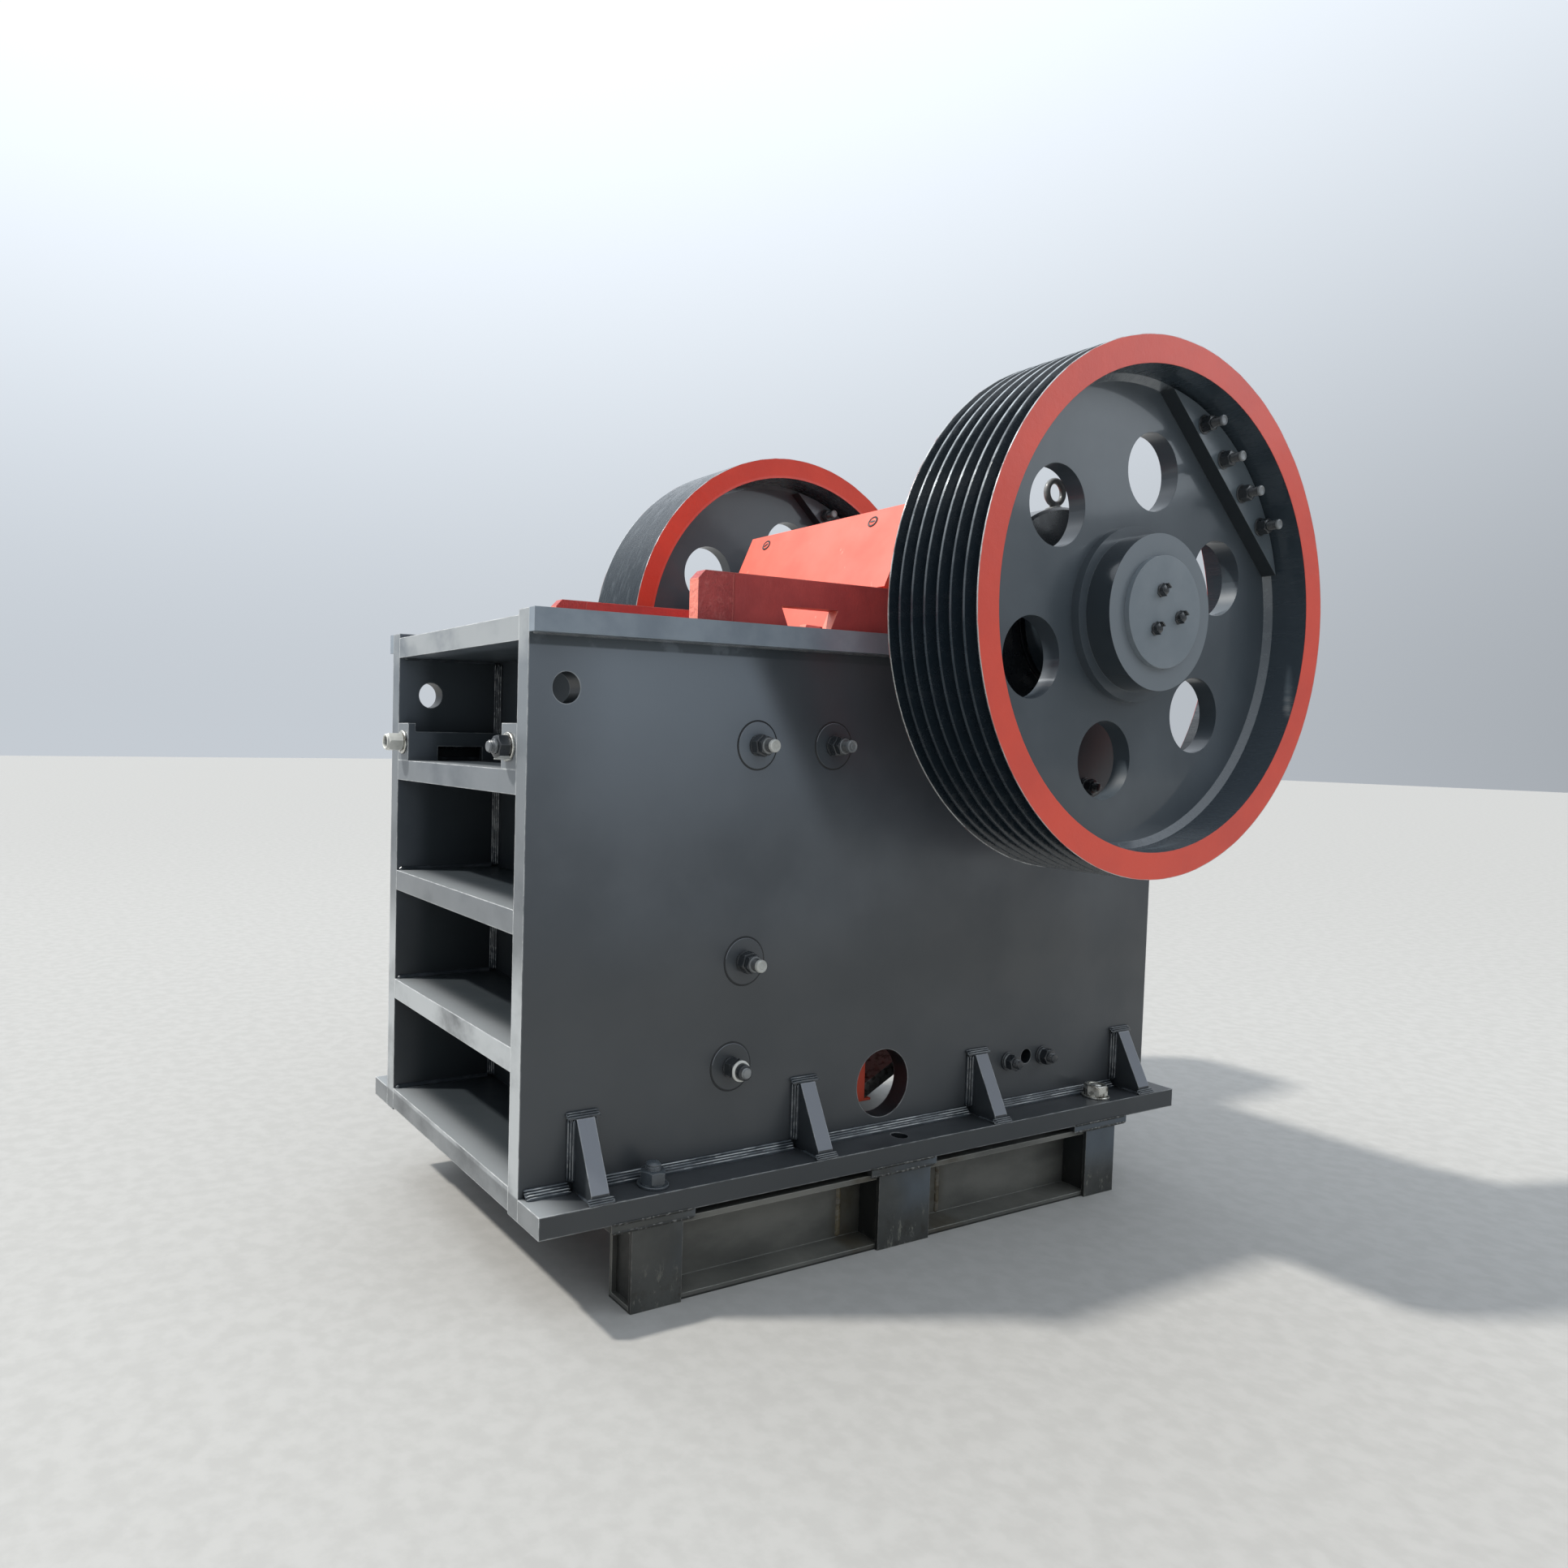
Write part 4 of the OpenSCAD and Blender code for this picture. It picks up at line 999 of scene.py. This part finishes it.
def cover_bolts():
    """Six bolts round the cover of each bearing housing."""
    for name, side in SIDES:
        shape = Shape()
        for k, angle in enumerate(COVER_BOLTS):
            spot = about_shaft(104, angle, side * high("bearing_housing_far").y)
            shape.add(nut(19, 6, 0.5), facing(spot, (0, side, 0), 7 * k))
        shape.piece("cover_bolts_" + name, [DARK_BOLT], "frame", "rim_black")


def spring():
    """The tension spring as one wound wire, in place of the CAD's plain sleeve."""
    start = low("tension_spring")
    end = high("tension_spring")
    wire = 5.0 * MM
    mean = (end.z - start.z) / 2 - wire
    centre_z = (start.z + end.z) / 2
    length = end.x - start.x
    coils = 7
    around = 28
    tube = 12
    points = []
    rows = coils * around + 1
    for k in range(rows):
        a = math.tau * k / around
        t = k / (rows - 1)
        closing = min(t * coils, (1 - t) * coils, 1.0)
        x = start.x + wire + (length - 2 * wire) * t
        x += (0.5 - t) * wire * 0.3 * (1 - closing)
        radial = Vector((0, math.cos(a), math.sin(a)))
        for j in range(tube):
            b = math.tau * j / tube
            offset = radial * (mean + wire * math.cos(b))
            points.append(Vector((x + wire * math.sin(b), 0, centre_z)) + offset)
    rings = grid(rows, tube)
    shape = Shape()
    shape.add((points, walls(rings) + [rings[0], rings[-1]]))
    piece = shape.piece("spring_coil", [SHAFT], "frame", "shaft_steel")
    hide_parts("tension_spring")


def cheek_seams():
    """The raised seam down each cheek plate behind its rough front end."""
    for name, side in SIDES:
        shape = Shape()
        faces = ((side * PLATE_IN, side), (side * low("cheek_plate_far").y, -side))
        for k, (y, crown) in enumerate(faces):
            bead(shape, [place(377, 880, y), place(377, 958, y)], (0, crown, 0), 5, 1.2, seed=200 + k)
        shape.piece("cheek_seam_" + name, [LINER], "frame", "liner_red")


# Stage, lights and camera
def floor():
    """A plain grey floor, 60 m square."""
    half = 30.0
    corners = [(-half, -half, 0), (half, -half, 0), (half, half, 0), (-half, half, 0)]
    mesh = bpy.data.meshes.new("floor")
    mesh.from_pydata(corners, [], [(0, 1, 2, 3)])
    f = Finish("floor", rough=0.7)
    f.set(Base_Color=f.mix(f.span(f.noise(30, 5), 0.35, 0.65), (0.36, 0.355, 0.34), (0.39, 0.385, 0.37)))
    mesh.materials.append(f.material)
    put("floor", mesh)


def world():
    """A plain studio dome: brightest overhead and behind the object, dim on the camera's side."""
    sky = bpy.data.worlds.new("studio")
    sky.use_nodes = True
    tree = sky.node_tree
    axes = tree.nodes.new("ShaderNodeSeparateXYZ")
    tree.links.new(tree.nodes.new("ShaderNodeTexCoord").outputs["Generated"], axes.inputs[0])

    def ramp(socket, values):
        node = tree.nodes.new("ShaderNodeMapRange")
        node.interpolation_type = "SMOOTHSTEP"
        tree.links.new(socket, node.inputs[0])
        for limit, number in zip(node.inputs[1:5], values):
            limit.default_value = number
        return node.outputs[0]

    add = tree.nodes.new("ShaderNodeMath")
    add.operation = "ADD"
    tree.links.new(ramp(axes.outputs[2], (0.0, 0.90, 0.20, 1.22)), add.inputs[0])
    tree.links.new(ramp(axes.outputs[1], (-0.4, 1.0, 0.04, 0.50)), add.inputs[1])
    background = tree.nodes["Background"]
    background.inputs["Color"].default_value = (0.80, 0.86, 0.93, 1.0)
    tree.links.new(add.outputs[0], background.inputs["Strength"])
    bpy.context.scene.world = sky
    bpy.context.scene.view_settings.view_transform = "Standard"


def light(name, kind, spot, target, strength, size, color):
    """A sun with size as its angle, or a round light of that width, turned towards target."""
    data = bpy.data.lights.new(name, kind)
    data.energy = strength
    data.color = color
    if kind == "SUN":
        data.angle = size
    else:
        data.shape = "DISK"
        data.size = size
    obj = put(name, data)
    obj.location = spot
    obj.rotation_euler = (Vector(target) - Vector(spot)).to_track_quat("-Z", "Y").to_euler()


def lights():
    middle = Vector((0, 0, 0.7))
    elevation = math.radians(52)
    travel = Vector((0.90 * math.cos(elevation), -0.43 * math.cos(elevation), -math.sin(elevation)))
    light("key", "SUN", middle - travel * 6, middle, 3.4, math.radians(3), (1.0, 0.96, 0.90))
    light("fill", "AREA", (-3.2, -3.0, 1.6), middle, 5, 2.5, (0.90, 0.95, 1.0))
    light("window", "AREA", (-1.6, 3.2, 4.6), middle, 22, 1.0, (0.95, 0.98, 1.0))
    light("side_window", "AREA", (2.9, -2.4, 2.6), middle, 13, 1.6, (0.85, 0.93, 1.0))


def camera():
    """The photograph's camera: a square cut from the right of a wider picture, so the lens is shifted."""
    yaw = math.radians(63.17505536)
    pitch = math.radians(-2.61966897)
    roll = math.radians(1.14358442)
    ahead = Vector((math.cos(yaw) * math.cos(pitch), math.sin(yaw) * math.cos(pitch), math.sin(pitch)))
    right = ahead.cross(Vector((0, 0, 1))).normalized()
    up = right.cross(ahead)
    image_right = right * math.cos(roll) + up * math.sin(roll)
    image_up = up * math.cos(roll) - right * math.sin(roll)
    data = bpy.data.cameras.new("camera")
    data.sensor_width = 36.0
    data.lens = 25.186356
    data.shift_x = 1 / 6
    data.clip_end = 100
    obj = put("camera", data)
    turn = Matrix((image_right, image_up, -ahead)).transposed().to_4x4()
    obj.matrix_world = Matrix.Translation((-1.419529, -1.647781, 0.837786)) @ turn
    bpy.context.scene.camera = obj


paint_cad()
flange_welds()
gusset_welds()
bay_welds()
band_welds()
shim_welds()
stand_joints()
plate_bolts()
rear_bolts()
foundation_bolts()
clamp_bolts()
guard_bolts()
eyebolts()
wheel_fasteners()
cover_bolts()
spring()
cheek_seams()
floor()
world()
lights()
camera()
